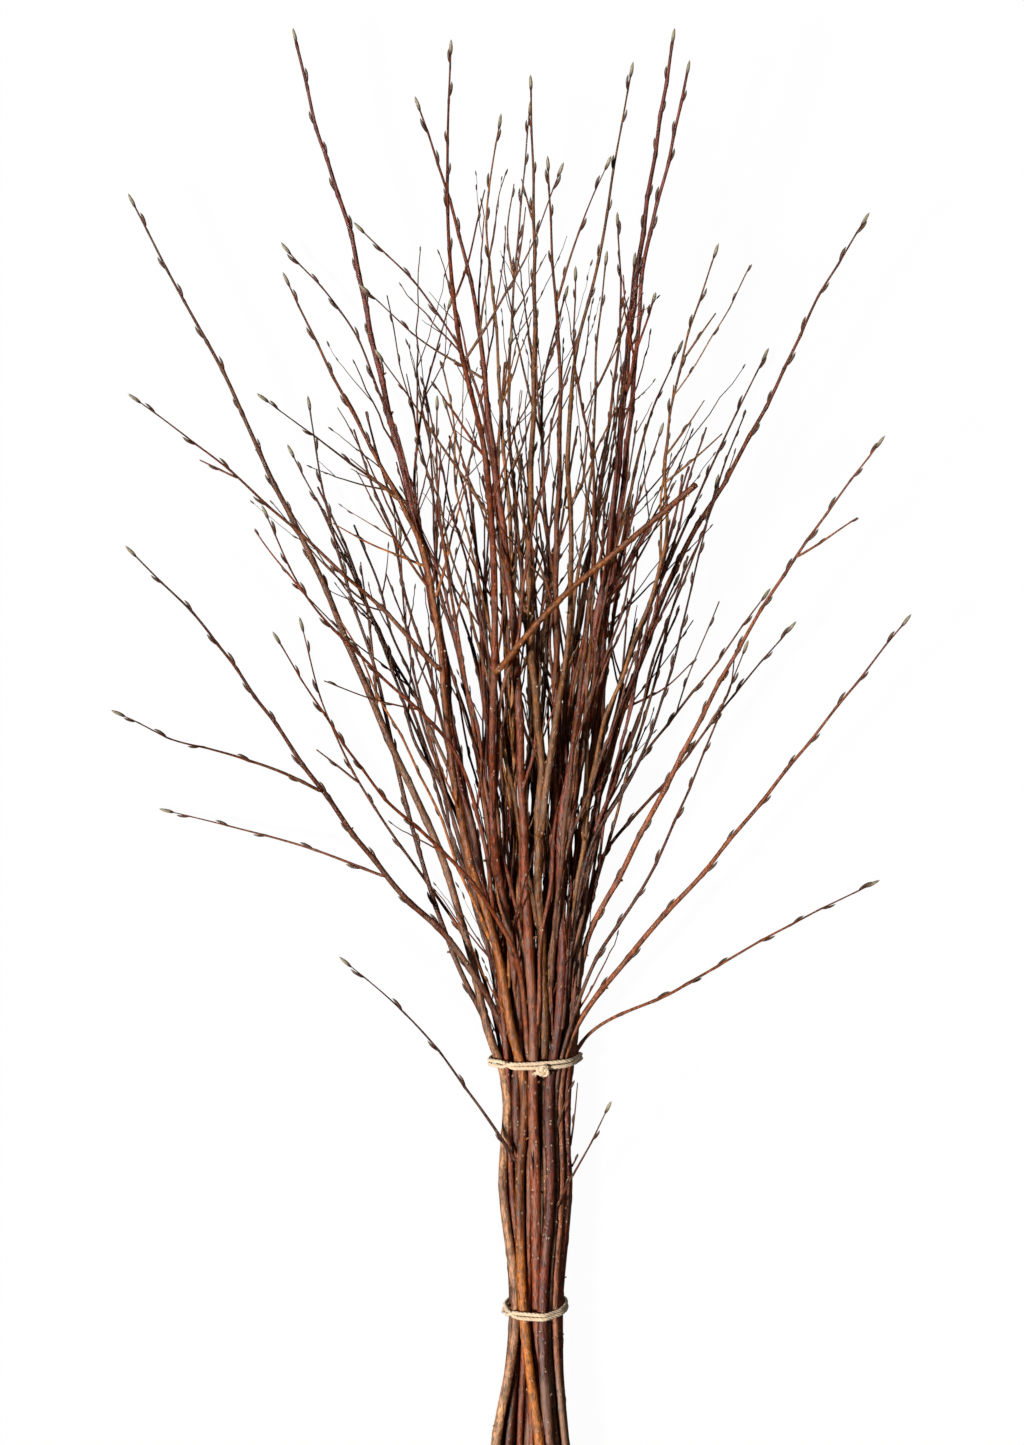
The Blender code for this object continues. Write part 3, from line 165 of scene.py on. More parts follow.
# Stems, in photo pixels: name, column at each station, points from the upper tie to the tip,
# thickness at the cut end and at the tip, place in the ties from back (-1) to front (1), or at each
# station from the cut end, height of the tip above the table in millimetres, colour.
STEMS = (
    ("left_long", (484, 493, 511, 501, 497),
     ((484, 1000), (466, 935), (452, 880), (435, 838), (412, 785), (383, 730), (352, 652), (325, 582),
      (298, 535), (270, 475), (243, 410), (212, 350), (182, 298), (150, 232), (128, 193)),
     (9.5, 2.6), 0.2, 60, "grey"),
    ("golden", (543, 530, 511, 507, 507),
     ((497, 1000), (487, 950), (475, 897), (457, 845), (447, 790), (439, 730), (434, 670), (429, 610),
      (418, 555), (398, 510), (370, 458), (340, 402), (317, 357), (300, 318), (277, 272)),
     (10, 2.6), (1.5, 1.3, 0.6, 0.6, 0.9), 95, "orange"),
    ("plum", (540, 537, 531, 521, 523),
     ((521, 1000), (513, 945), (503, 900), (497, 850), (494, 800), (494, 730), (496, 650), (495, 560),
      (489, 465), (475, 408), (462, 350), (452, 290), (448, 200), (449, 110), (452, 40)),
     (9.5, 2.6), 0.3, 235, "red"),
    ("diagonal", (528, 535, 541, 532, 519),
     ((507, 1015), (500, 960), (490, 905), (480, 860), (468, 810), (457, 765), (448, 715), (444, 660),
      (437, 600), (425, 555), (410, 500), (398, 445), (382, 385), (367, 310), (355, 245), (335, 180),
      (308, 100), (294, 27)),
     (10, 2.8), 0.3, 75, "wine"),
    ("central", (559, 554, 551, 546, 542),
     ((540, 1015), (535, 940), (531, 890), (529, 820), (526, 740), (521, 680), (518, 610), (512, 555),
      (503, 500), (496, 440), (489, 385), (484, 330), (474, 275), (461, 225), (445, 172), (430, 128),
      (419, 96)),
     (11, 2.8), (0.5, 0.6, 0.9, 1.0, 1.0), 150, "red"),
    ("pale_fork", (560, 556, 554, 553, 553),
     ((554, 1005), (550, 950), (545, 900), (545, 860), (547, 800), (547, 740), (541, 690), (536, 640),
      (535, 580), (533, 520), (536, 470), (538, 400), (540, 330), (538, 250), (537, 170), (534, 75)),
     (10, 2.6), 0.5, 175, "olive"),
    ("red_tall", (568, 561, 556, 563, 567),
     ((569, 1000), (573, 930), (570, 880), (568, 830), (574, 790), (583, 740), (590, 700), (598, 655),
      (606, 605), (614, 560), (620, 515), (625, 450), (630, 385), (637, 320), (643, 260), (653, 205),
      (661, 150), (667, 100), (680, 28)),
     (10.5, 3), 0.85, 150, "wine"),
    ("red_second", (577, 566, 561, 570, 574),
     ((577, 1000), (582, 950), (586, 900), (588, 850), (592, 800), (598, 740), (603, 680), (609, 620),
      (617, 560), (625, 500), (631, 440), (636, 390), (641, 330), (648, 255), (661, 195), (675, 148),
      (686, 97), (692, 60)),
     (8.5, 2.6), 0.4, 80, "wine"),
    ("red_third", (551, 556, 557, 561, 562),
     ((560, 1000), (563, 940), (572, 870), (580, 800), (589, 740), (597, 690), (604, 640), (610, 580),
      (616, 520), (621, 460), (626, 400), (632, 330), (639, 252)),
     (8, 3), 0.3, 132, "red"),
    ("right_high", (592, 568, 563, 571, 578),
     ((581, 1010), (584, 965), (592, 930), (609, 900), (630, 862), (650, 822), (672, 780), (695, 735),
      (718, 690), (740, 648), (765, 607), (795, 562), (820, 525), (848, 488), (870, 458), (887, 435)),
     (7.5, 2.6), 0.2, 110, "brown"),
    ("right_mid", (540, 548, 553, 563, 570),
     ((577, 1000), (583, 940), (592, 890), (605, 858), (625, 832), (645, 806), (664, 790), (688, 757),
      (718, 720), (745, 683), (775, 648), (799, 621)),
     (5.5, 2.3), -0.1, 45, "brown"),
    ("right_inner", (570, 563, 558, 563, 566),
     ((573, 1000), (582, 950), (590, 900), (598, 850), (608, 812), (625, 785), (645, 760), (665, 737),
      (690, 705), (722, 662), (745, 622), (775, 588)),
     (5.5, 2.3), -0.35, 6, "grey"),
    ("right_dark", (535, 545, 551, 562, 571),
     ((576, 1000), (580, 940), (588, 880), (600, 840), (615, 810), (635, 780), (650, 755), (662, 728),
      (672, 690), (682, 655), (692, 615), (700, 575), (710, 540), (718, 508), (725, 474)),
     (5, 2.1), 0.45, 135, "dark"),
    ("right_low", (588, 573, 565, 571, 577),
     ((581, 1040), (595, 1010), (622, 978), (648, 945), (682, 905), (715, 870), (745, 835), (775, 797),
      (800, 760), (820, 737), (845, 708), (870, 675), (890, 640), (919, 614)),
     (7, 2.4), 0.3, 70, "brown"),
    ("right_lowest", (545, 552, 558, 568, 576),
     ((581, 1050), (598, 1038), (622, 1021), (650, 1006), (683, 990), (715, 967), (745, 954),
      (775, 936), (805, 921), (850, 898), (885, 880)),
     (5, 2.1), 0.05, 8, "brown"),
    ("right_thin", (553, 558, 561, 569, 573),
     ((579, 1030), (590, 1000), (600, 972), (612, 950), (630, 925), (650, 893), (665, 863), (682, 825),
      (697, 793), (712, 760), (724, 725), (737, 690), (748, 660), (757, 640)),
     (5, 2), 0.65, 150, "dark"),
    ("right_sweep", (565, 561, 555, 562, 567),
     ((574, 1000), (582, 940), (588, 880), (597, 820), (607, 770), (618, 730), (632, 690), (645, 655),
      (655, 615), (668, 585), (690, 545), (712, 505), (735, 468), (760, 425), (779, 385), (802, 340),
      (822, 293), (850, 243), (872, 212)),
     (8.5, 2.6), 0.25, 90, "brown"),
    ("right_upper", (530, 540, 548, 557, 561),
     ((567, 1000), (577, 930), (585, 860), (592, 800), (603, 750), (615, 710), (628, 680), (640, 645),
      (655, 600), (672, 560), (692, 525), (708, 488), (728, 440), (750, 393), (773, 348)),
     (5.5, 2.3), -0.45, 6, "grey"),
    ("right_kinked", (559, 552, 545, 553, 557),
     ((564, 1000), (574, 930), (583, 860), (591, 790), (601, 740), (612, 700), (625, 665), (642, 630),
      (656, 600), (665, 565), (667, 520), (666, 470), (668, 435), (674, 400), (682, 368), (690, 330),
      (700, 295), (710, 265), (720, 243)),
     (6, 2.3), 0.5, 165, "olive"),
    ("left_low", (501, 506, 515, 509, 505),
     ((497, 1005), (480, 975), (455, 955), (430, 930), (405, 900), (385, 879), (358, 842), (322, 795),
      (297, 758), (262, 710), (230, 660), (190, 613), (150, 573), (122, 546)),
     (8, 2.4), 0.3, 85, "brown"),
    ("left_dark", (489, 497, 509, 502, 493),
     ((487, 1042), (478, 1022), (462, 992), (440, 937), (421, 882), (409, 830), (398, 795), (388, 755),
      (376, 695), (365, 645), (352, 608), (338, 575), (326, 535), (318, 490), (308, 445), (303, 395)),
     (6.5, 2.2), 0.15, 40, "dark"),
    ("left_red", (520, 518, 517, 507, 501),
     ((494, 1000), (488, 950), (482, 900), (478, 850), (470, 800), (457, 762), (440, 742), (420, 722),
      (400, 697), (378, 680), (350, 652), (325, 628), (300, 597), (280, 560), (262, 525), (255, 505)),
     (6, 2.2), 0.35, 130, "red"),
    ("left_fine", (495, 502, 512, 504, 499),
     ((489, 1000), (472, 957), (452, 922), (433, 890), (415, 872), (400, 858), (387, 835), (368, 803),
      (347, 768), (330, 730), (313, 688), (302, 655), (296, 617)),
     (5, 2), -0.2, 6, "brown"),
    ("left_cross", (538, 536, 533, 533, 532),
     ((527, 1000), (515, 945), (500, 915), (480, 890), (455, 860), (430, 838), (405, 815), (380, 790),
      (358, 760), (336, 730), (315, 693), (300, 672), (285, 648), (275, 632)),
     (6, 2.2), 0.5, 160, "red"),
    ("left_inner", (513, 515, 519, 513, 509),
     ((501, 990), (490, 930), (478, 870), (462, 810), (442, 760), (422, 715), (403, 678), (385, 648),
      (367, 615), (350, 585), (338, 555), (330, 530), (321, 500), (305, 473), (285, 444)),
     (5.5, 2.2), -0.4, 5, "grey"),
    ("left_arch", (523, 521, 521, 514, 511),
     ((506, 1000), (499, 930), (490, 860), (478, 790), (468, 730), (455, 670), (441, 610), (425, 560),
      (405, 505), (390, 455), (380, 400), (370, 362), (345, 325), (315, 287), (283, 252), (276, 243)),
     (5.5, 2.2), -0.7, 14, "brown"),
    ("behind_left", (528, 528, 527, 520, 517),
     ((514, 980), (511, 900), (509, 820), (507, 740), (504, 660), (501, 590), (497, 520), (489, 450),
      (479, 395), (462, 355), (442, 323), (425, 297), (398, 263), (367, 235), (352, 222)),
     (6, 2.2), -0.1, 70, "red"),
    ("slim_centre", (540, 537, 535, 533, 531),
     ((528, 980), (522, 900), (517, 820), (515, 740), (515, 660), (514, 590), (512, 530), (506, 470),
      (502, 410), (500, 340), (492, 290), (486, 250), (488, 210), (495, 165), (502, 113)),
     (6.5, 2.2), 0.1, 95, "olive"),
    ("brown_centre", (548, 547, 547, 549, 549),
     ((554, 980), (558, 900), (560, 820), (562, 740), (563, 660), (562, 590), (562, 520), (566, 440),
      (566, 380), (562, 310), (557, 250), (554, 190), (553, 155)),
     (9, 2.6), 0.4, 170, "brown"),
    ("back_centre", (545, 543, 541, 541, 541),
     ((541, 980), (540, 900), (537, 820), (534, 740), (530, 660), (525, 580), (516, 500), (510, 430),
      (511, 340), (517, 275), (524, 215), (518, 172), (525, 130), (532, 100)),
     (6, 2), -0.6, 45, "grey"),
    ("dark_kinked", (534, 541, 547, 553, 555),
     ((561, 980), (568, 900), (575, 820), (583, 740), (592, 660), (599, 590), (603, 520), (600, 460),
      (590, 405), (581, 360), (580, 310), (583, 266)),
     (6, 2.2), 0.4, 185, "dark"),
    ("back_left", (506, 511, 518, 511, 505),
     ((497, 1000), (486, 940), (475, 880), (464, 820), (452, 760), (441, 700), (433, 640), (423, 580),
      (413, 520), (407, 470), (412, 420), (425, 370), (436, 335), (447, 295)),
     (7, 2.4), -0.85, 6, "brown"),
    ("back_mid_left", (527, 526, 526, 523, 521),
     ((516, 990), (507, 920), (498, 850), (490, 780), (483, 700), (478, 620), (474, 540), (466, 480),
      (452, 420), (440, 395)),
     (7.5, 2.6), -0.9, 20, "red"),
    ("back_mid", (550, 545, 541, 539, 537),
     ((535, 980), (533, 900), (535, 820), (541, 740), (549, 660), (552, 580), (548, 500), (541, 440),
      (546, 380), (555, 330), (570, 285)),
     (7.5, 2.6), -0.95, 30, "grey"),
    ("back_mid_right", (562, 558, 552, 553, 553),
     ((555, 980), (559, 900), (565, 820), (572, 740), (580, 660), (590, 580), (603, 500), (612, 440),
      (616, 395), (622, 350), (628, 280), (622, 212)),
     (7.5, 2.4), -0.85, 24, "brown"),
    ("back_right", (585, 572, 562, 567, 570),
     ((576, 990), (583, 920), (590, 850), (598, 790), (608, 720), (618, 650), (626, 580), (633, 520),
      (645, 460), (658, 410), (676, 372), (690, 340)),
     (6.5, 2.3), -0.6, 6, "brown"),
    ("core_left", (508, 514, 521, 516, 513),
     ((503, 990), (495, 920), (486, 850), (477, 780), (466, 710), (456, 650), (446, 590), (438, 530),
      (432, 480), (434, 440), (433, 395)),
     (6, 2.4), -0.2, 110, "brown"),
    ("core_right", (575, 566, 559, 560, 559),
     ((562, 990), (568, 920), (577, 850), (588, 780), (599, 710), (611, 640), (622, 580), (633, 520),
      (641, 470), (652, 440), (665, 422)),
     (6, 2.4), -0.1, 94, "red"),
    ("core_mid", (530, 532, 533, 530, 527),
     ((523, 980), (519, 900), (516, 820), (512, 740), (508, 660), (505, 590), (500, 530), (497, 470),
      (500, 420), (507, 370), (512, 330)),
     (6, 2.4), -0.3, 80, "grey"),
    ("core_tan", (556, 551, 549, 551, 551),
     ((557, 980), (560, 900), (563, 820), (567, 740), (572, 660), (580, 590), (588, 520), (596, 460),
      (602, 400), (600, 350), (604, 300), (611, 250)),
     (6, 2.4), 0.0, 130, "olive"),
    ("core_low_left", (499, 504, 512, 507, 503),
     ((493, 990), (478, 920), (464, 870), (450, 820), (436, 780), (424, 730), (412, 690), (405, 650),
      (400, 610), (397, 570), (396, 525)),
     (6, 2.4), -0.5, 40, "dark"),
    ("core_low_right", (580, 570, 561, 567, 571),
     ((577, 990), (585, 930), (594, 880), (604, 830), (616, 790), (628, 750), (640, 710), (650, 670),
      (662, 640), (678, 612), (694, 573)),
     (6, 2.4), -0.75, 8, "brown"),
)

# Branches: name, stem, points from the fork to the tip, thickness at the fork and at the tip,
# height of the tip in millimetres, colour.
BRANCHES = (
    ("left_low_branch", "left_low",
     ((385, 879), (370, 873), (346, 863), (310, 850), (285, 838), (250, 831), (210, 824), (185, 817),
      (156, 809)),
     (3.6, 1.8), 5, "brown"),
    ("left_low_fork", "left_low",
     ((322, 795), (297, 783), (280, 774), (250, 761), (225, 756), (190, 746), (160, 736), (130, 720),
      (108, 711)),
     (3.8, 1.8), 120, "brown"),
    ("left_wide_branch", "golden",
     ((434, 670), (415, 645), (392, 622), (370, 605), (340, 575), (300, 540), (260, 505), (230, 478),
      (187, 440), (150, 414), (121, 394)),
     (5, 2), 125, "brown"),
    ("left_slant_branch", "diagonal",
     ((408, 505), (380, 483), (350, 461), (330, 447), (308, 431), (275, 405), (258, 393)),
     (3.6, 1.8), 105, "grey"),
    ("pale_fork_right", "pale_fork",
     ((547, 835), (553, 790), (557, 755), (562, 715), (568, 680), (575, 640), (578, 590), (577, 540),
      (574, 480), (573, 415), (578, 365), (590, 325), (601, 275), (612, 220), (620, 160), (628, 105),
      (638, 62)),
     (8, 2.4), 190, "olive"),
    ("orange_branch", "plum",
     ((496, 672), (504, 653), (520, 636), (540, 618), (560, 601), (585, 580), (610, 560), (630, 541),
      (650, 522), (680, 498), (697, 485)),
     (8.5, 6.0), 165, "orange"),
    ("brown_branch", "brown_centre",
     ((562, 312), (570, 270), (585, 228), (600, 203), (608, 180), (616, 155)),
     (3.2, 1.6), 190, "brown"),
    ("cross_branch", "plum",
     ((466, 372), (485, 335), (505, 300), (525, 262), (543, 228), (557, 187), (565, 163)),
     (3.4, 1.6), 205, "grey"),
    ("red_side_branch", "red_tall",
     ((629, 405), (637, 375), (643, 350), (652, 320), (661, 292)),
     (3.2, 1.6), 185, "wine"),
    ("slim_branch", "central",
     ((489, 385), (480, 402), (468, 387), (455, 370), (440, 350), (420, 335), (400, 320), (378, 303),
      (362, 284)),
     (3.4, 1.6), 150, "grey"),
    ("low_left_spray", "golden",
     ((513, 1163), (503, 1151), (492, 1139), (465, 1103), (435, 1062), (415, 1040), (400, 1020),
      (380, 1002), (350, 975), (327, 957)),
     (4, 1.8), 60, "dark"),
    ("low_right_spray", "right_thin",
     ((570, 1206), (580, 1180), (597, 1150), (610, 1126), (624, 1101)),
     (3.6, 1.8), 75, "dark"),
    ("mid_left_branch", "plum",
     ((492, 520), (480, 512), (470, 500), (458, 475), (445, 450), (430, 425), (420, 405), (407, 385),
      (395, 365), (376, 349)),
     (4, 1.8), 165, "grey"),
)

# Side shoots that are fused to what they grow from: parent, points from the fork to the tip.
SHOOTS = (
    ("right_high", ((797, 560), (815, 545), (838, 531), (860, 518))),
    ("left_wide_branch", ((236, 482), (215, 472), (193, 460))),
    ("left_red", ((300, 597), (283, 578), (268, 558), (249, 530))),
    ("right_kinked", ((681, 370), (693, 352), (705, 336), (717, 313))),
    ("right_kinked", ((667, 487), (685, 465), (700, 452), (723, 433))),
    ("left_fine", ((355, 782), (345, 773), (330, 760), (313, 750))),
)

# The picture's height in pixels, and the light.
PHOTO_HEIGHT = 1445.0
TABLE_GLOW = 0.97
WORLD_LIGHT = 0.03
LAMPS = (("key", (10.0, -34.0, 0.0), 4.7, 9.0), ("fill", (-18.0, 34.0, 0.0), 0.35, 40.0))

# Fine twiglets that grow from a stem: stem, thickness at the fork, points from the fork to the tip.
TWIGLETS = (
    ("golden", 2.6, ((390, 508), (380, 499), (361, 475), (350, 459))),
    ("golden", 3.0, ((416, 570), (400, 559), (385, 551), (358, 536), (341, 527), (333, 523))),
    ("back_left", 2.4, ((415, 434), (413, 417), (409, 391), (406, 374))),
    ("back_centre", 2.6, ((506, 278), (506, 253), (508, 225), (511, 203), (514, 184))),
    ("back_centre", 2.4, ((514, 281), (519, 253), (522, 231), (525, 207))),
    ("pale_fork", 2.4, ((534, 236), (529, 214), (525, 197), (521, 179))),
    ("right_kinked", 2.8, ((670, 460), (680, 445), (689, 432), (698, 415), (704, 400))),
    ("right_sweep", 2.8, ((640, 713), (659, 693), (673, 680), (686, 668), (694, 660))),
    ("right_mid", 2.6, ((712, 727), (722, 712), (732, 682), (736, 650))),
    ("right_lowest", 2.4, ((683, 990), (690, 984), (700, 978))),
    ("pale_fork", 2.6, ((555, 1147), (561, 1128), (566, 1113), (566, 1100), (573, 1082))),
    ("red_second", 2.2, ((566, 1105), (562, 1097), (558, 1090), (551, 1078))),
    ("right_high", 2.6, ((573, 1151), (577, 1140), (580, 1130), (581, 1114), (579, 1096), (577, 1083))),
    ("right_high", 2.2, ((572, 1170), (574, 1162), (578, 1155))),
    ("central", 2.0, ((542, 1179), (537, 1164), (531, 1152))),
    ("left_red", 3.2, ((503, 1037), (510, 1031), (515, 1010), (518, 990), (520, 960), (524, 920))),
    ("left_red", 2.6, ((507, 1030), (515, 1008), (521, 981), (519, 955), (524, 930))),
    ("slim_centre", 2.4, ((528, 1036), (533, 1012), (531, 985), (537, 960))),
    ("red_tall", 2.4, ((562, 1040), (556, 1012), (551, 985), (552, 955), (548, 930))),
    ("central", 2.6, ((537, 1030), (543, 1005), (541, 975), (547, 950), (549, 915))),
    ("right_low", 2.2, ((578, 1042), (571, 1020), (569, 990), (574, 965))),
)

def from_photo(column, row, z):
    """Metres of a photo point at a height, brought in to where the camera overhead would see it."""
    nearer = (LENS_HEIGHT - z) / (LENS_HEIGHT - PHOTO_PLANE)
    return ((column - LENS_COLUMN) * PIXEL * nearer, (LENS_ROW - row) * PIXEL * nearer, z)


def resampled(points, spacing):
    """Points at an even spacing along a polyline, both ends kept."""
    points = np.asarray(points, float)
    steps = np.linalg.norm(np.diff(points, axis=0), axis=1)
    along = np.concatenate([[0.0], np.cumsum(steps)])
    count = max(2, int(round(along[-1] / spacing)) + 1)
    wanted = np.linspace(0.0, along[-1], count)
    return np.column_stack([np.interp(wanted, along, points[:, k]) for k in range(3)])


class Chain:
    """One twig as a row of points with radii, free or growing from a parent chain."""

    def __init__(self, name, points, radii, colour="", parent=None, fused=False, ease=0.6):
        self.name = name
        self.ease = ease
        self.points = np.asarray(points, float)
        self.radii = np.asarray(radii, float)
        self.colour = colour
        self.parent = parent
        self.fused = fused
        if parent is not None:
            self.place = parent.nearest(self.points[0])

    def at(self, place):
        """Point, direction and radius at a place counted in rings."""
        index = min(int(place), len(self.points) - 2)
        share = place - index
        low, high = self.points[index], self.points[index + 1]
        radius = (1 - share) * self.radii[index] + share * self.radii[index + 1]
        return (1 - share) * low + share * high, (high - low) / np.linalg.norm(high - low), radius

    def nearest(self, point):
        """Place on this chain nearest to a point as the camera sees it."""
        low, step = self.points[:-1, :2], np.diff(self.points[:, :2], axis=0)
        share = ((point[:2] - low) * step).sum(1) / (step * step).sum(1)
        share = np.clip(share, 0.05, 0.95)
        far = np.linalg.norm(low + share[:, None] * step - point[:2], axis=1)
        best = int(far.argmin())
        return best + float(share[best])


def stem_chain(row):
    """The chain of a stem: its five stations, then its points from the upper tie to the tip."""
    name, columns, above, (thick, thin), lift, rise, colour = row
    rows = (STATION_ROWS[0] + 11 * math.sin(7.3 * columns[0] + rise),) + STATION_ROWS[1:]
    lifts = np.broadcast_to(lift, len(rows))
    points = [from_photo(c, r, axis + up * half)
              for c, r, axis, half, up in zip(columns, rows, STATION_AXIS, STATION_HALF, lifts)]
    start = points[-1]
    pixels = [(columns[-1], UPPER_TIE_ROW)] + list(above)
    after = next(k for k, (_, pixel_row) in enumerate(pixels) if pixel_row < NECK_ROW)
    (near_column, near_row), (far_column, far_row) = pixels[after - 1], pixels[after]
    share = (near_row - NECK_ROW) / (near_row - far_row)
    neck = (near_column + share * (far_column - near_column), NECK_ROW)
    pixels = np.array([pixels[0], neck] + pixels[after:], float)
    along = np.concatenate([[0.0], np.cumsum(np.linalg.norm(np.diff(pixels, axis=0), axis=1))])
    share = along / along[-1]
    height = start[2] + (rise / 1000 - start[2]) * share ** RISE
    upper = [from_photo(c, r, z) for (c, r), z in zip(pixels, height)]
    points = points[:-1] + [upper[0]] + list(resampled(upper[1:], RING_SPACING))
    points = np.array(points)
    length = np.concatenate([[0.0], np.cumsum(np.linalg.norm(np.diff(points, axis=0), axis=1))])
    part = length / length[-1]
    radii = 0.5 * PIXEL * (thin + (thick - thin) * (1 - part ** TAPER))
    return Chain("twig_" + name, points, radii, colour, ease=1 - HOLD * np.clip(lifts[-1], 0, 1))


def branch_chain(name, parent, pixels, thick, thin, rise, colour, fused=False):
    """The chain of a branch that leaves its parent where its first point is nearest."""
    first = from_photo(*pixels[0], 0.03)
    fork, _, parent_radius = parent.at(parent.nearest(np.array(first)))
    pixels = np.array(pixels, float)
    along = np.concatenate([[0.0], np.cumsum(np.linalg.norm(np.diff(pixels, axis=0), axis=1))])
    share = along / along[-1]
    height = fork[2] + (rise / 1000 - fork[2]) * share
    points = np.array([from_photo(c, r, z) for (c, r), z in zip(pixels, height)])
    points[0] = fork
    points = resampled(points, RING_SPACING * (0.5 if fused else 0.95))
    share = np.linspace(0, 1, len(points))
    thick = min(thick * PIXEL, 1.7 * parent_radius)
    radii = 0.5 * (thick + (thin * PIXEL - thick) * share)
    return Chain("twig_" + name, points, radii, colour, parent, fused)


def closest(p1, q1, p2, q2):
    """Shares along two rows of segments where each pair comes nearest, and the vector between."""
    d1, d2, r = q1 - p1, q2 - p2, p1 - p2
    a, e, b = (d1 * d1).sum(1), (d2 * d2).sum(1), (d1 * d2).sum(1)
    c, f = (d1 * r).sum(1), (d2 * r).sum(1)
    s = np.clip((b * f - c * e) / np.maximum(a * e - b * b, 1e-16), 0, 1)
    t = np.clip((b * s + f) / e, 0, 1)
    s = np.clip((b * t - c) / a, 0, 1)
    return s, t, (p1 + s[:, None] * d1) - (p2 + t[:, None] * d2)


class Heap:
    """All the chains together, as one array of points that the relaxation moves."""

    def __init__(self, chains):
        self.chains = chains
        starts = np.cumsum([0] + [len(c.points) for c in chains])
        self.slices = [slice(a, b) for a, b in zip(starts[:-1], starts[1:])]
        self.points = np.concatenate([c.points for c in chains])
        self.target = self.points.copy()
        self.radii = np.concatenate([c.radii for c in chains])
        self.ease = np.concatenate([np.full(len(c.points), c.ease) for c in chains])
        self.tie_line = from_photo(0, UPPER_TIE_ROW, 0)[1]
        number = {id(c): k for k, c in enumerate(chains)}
        self.low = np.concatenate([np.arange(a, b - 1) for a, b in zip(starts[:-1], starts[1:])])
        self.owner = np.concatenate([np.full(len(c.points) - 1, k) for k, c in enumerate(chains)])
        self.order = np.concatenate([np.arange(len(c.points) - 1) for c in chains])
        self.parent = np.array([number[id(c.parent)] if c.parent else -1 for c in chains])
        first, second = np.triu_indices(len(self.low), 1)
        a, b = self.owner[first], self.owner[second]
        apart = a != b
        near_fork = (self.parent[b] == a) & (self.order[second] == 0)
        near_fork |= (self.parent[a] == b) & (self.order[first] == 0)
        siblings = (self.parent[a] == self.parent[b]) & (self.parent[a] >= 0)
        siblings &= (self.order[first] == 0) & (self.order[second] == 0)
        keep = apart & ~near_fork & ~siblings
        self.first, self.second = self.low[first[keep]], self.low[second[keep]]

    def gaps(self, first, second):
        p = self.points
        s, t, between = closest(p[first], p[first + 1], p[second], p[second + 1])
        r = self.radii
        need = (1 - s) * r[first] + s * r[first + 1] + (1 - t) * r[second] + t * r[second + 1]
        return s, t, between, np.linalg.norm(between, axis=1), need

    def near(self, reach):
        """Pairs of segments that come within reach of each other."""
        _, _, _, far, need = self.gaps(self.first, self.second)
        close = far < need + reach
        return self.first[close], self.second[close]

    def push_apart(self, first, second, gap, rate):
        """Moves each pair that is too near apart, mostly up and down above the ties."""
        s, t, between, far, need = self.gaps(first, second)
        bad = far < need + gap
        first, second, s, t = first[bad], second[bad], s[bad], t[bad]
        lack = (need + gap - far)[bad]
        n = between[bad] / np.maximum(far[bad], 1e-9)[:, None]
        brush = np.clip((self.points[first, 1] - self.tie_line) / BRUSH_LENGTH, 0, 1)
        side = 1 - BRUSH_LOSS * brush
        m = n * np.column_stack([side, side * LENGTHWISE, np.ones_like(side)])
        m /= np.maximum((m * n).sum(1), LEAST_ACROSS)[:, None]
        weight = (1 - s) ** 2 + s ** 2 + (1 - t) ** 2 + t ** 2
        move = m * (rate * lack / weight)[:, None]
        part = 2 * self.ease[first] / (self.ease[first] + self.ease[second])
        here, there = part[:, None] * move, (2 - part)[:, None] * move
        total = np.zeros_like(self.points)
        np.add.at(total, first, (1 - s)[:, None] * here)
        np.add.at(total, first + 1, s[:, None] * here)
        np.add.at(total, second, -(1 - t)[:, None] * there)
        np.add.at(total, second + 1, -t[:, None] * there)
        self.points += total

    def keep_in_ties(self):
        """Draws the stems into the two ties, each an ellipse that rests on the table."""
        for k, chain in enumerate(self.chains):
            if chain.parent is not None:
                continue
            start = self.slices[k].start
            for row, (column, height), room in ((LOWER_TIE_ROW, LOWER_CENTRE, LOWER_ROOM),
                                                (UPPER_TIE_ROW, UPPER_CENTRE, UPPER_ROOM)):
                index = STATION_ROWS.index(row)
                centre = np.array(from_photo(column, row, height))[[0, 2]]
                point = self.points[start + index, [0, 2]] - centre
                free = np.array(room) - self.radii[start + index]
                out = math.hypot(*(point / free))
                if out > 1:
                    self.points[start + index, [0, 2]] = centre + point / out
                self.points[start + index, 1] = self.target[start + index, 1]

    def keep_shape(self, pull, smooth):
        """Spreads each move along its twig, so that a twig bends without a kink."""
        for k, chain in enumerate(self.chains):
            part = self.slices[k]
            moved = self.points[part] - self.target[part]
            inner = moved.copy()
            inner[1:-1] += smooth * (moved[:-2] + moved[2:] - 2 * moved[1:-1])
            inner[-1] += smooth * (moved[-2] - moved[-1])
            if chain.parent is None:
                inner[0] += smooth * (moved[1] - moved[0])
            else:
                inner[0] = moved[0]
            inner[1:, :2] *= 1 - pull
            self.points[part] = self.target[part] + inner

    def follow_parents(self):
        """Each branch is carried with the point of its parent that it grows from."""
        for k, chain in enumerate(self.chains):
            if chain.parent is None:
                continue
            part = self.slices[self.parent[k]]
            index = int(chain.place)
            share = chain.place - index
            fork = (1 - share) * self.points[part][index] + share * self.points[part][index + 1]
            here = self.slices[k]
            self.points[here] += fork - self.points[here.start]

    def above_table(self):
        self.points[:, 2] = np.maximum(self.points[:, 2], self.radii + 0.0001)

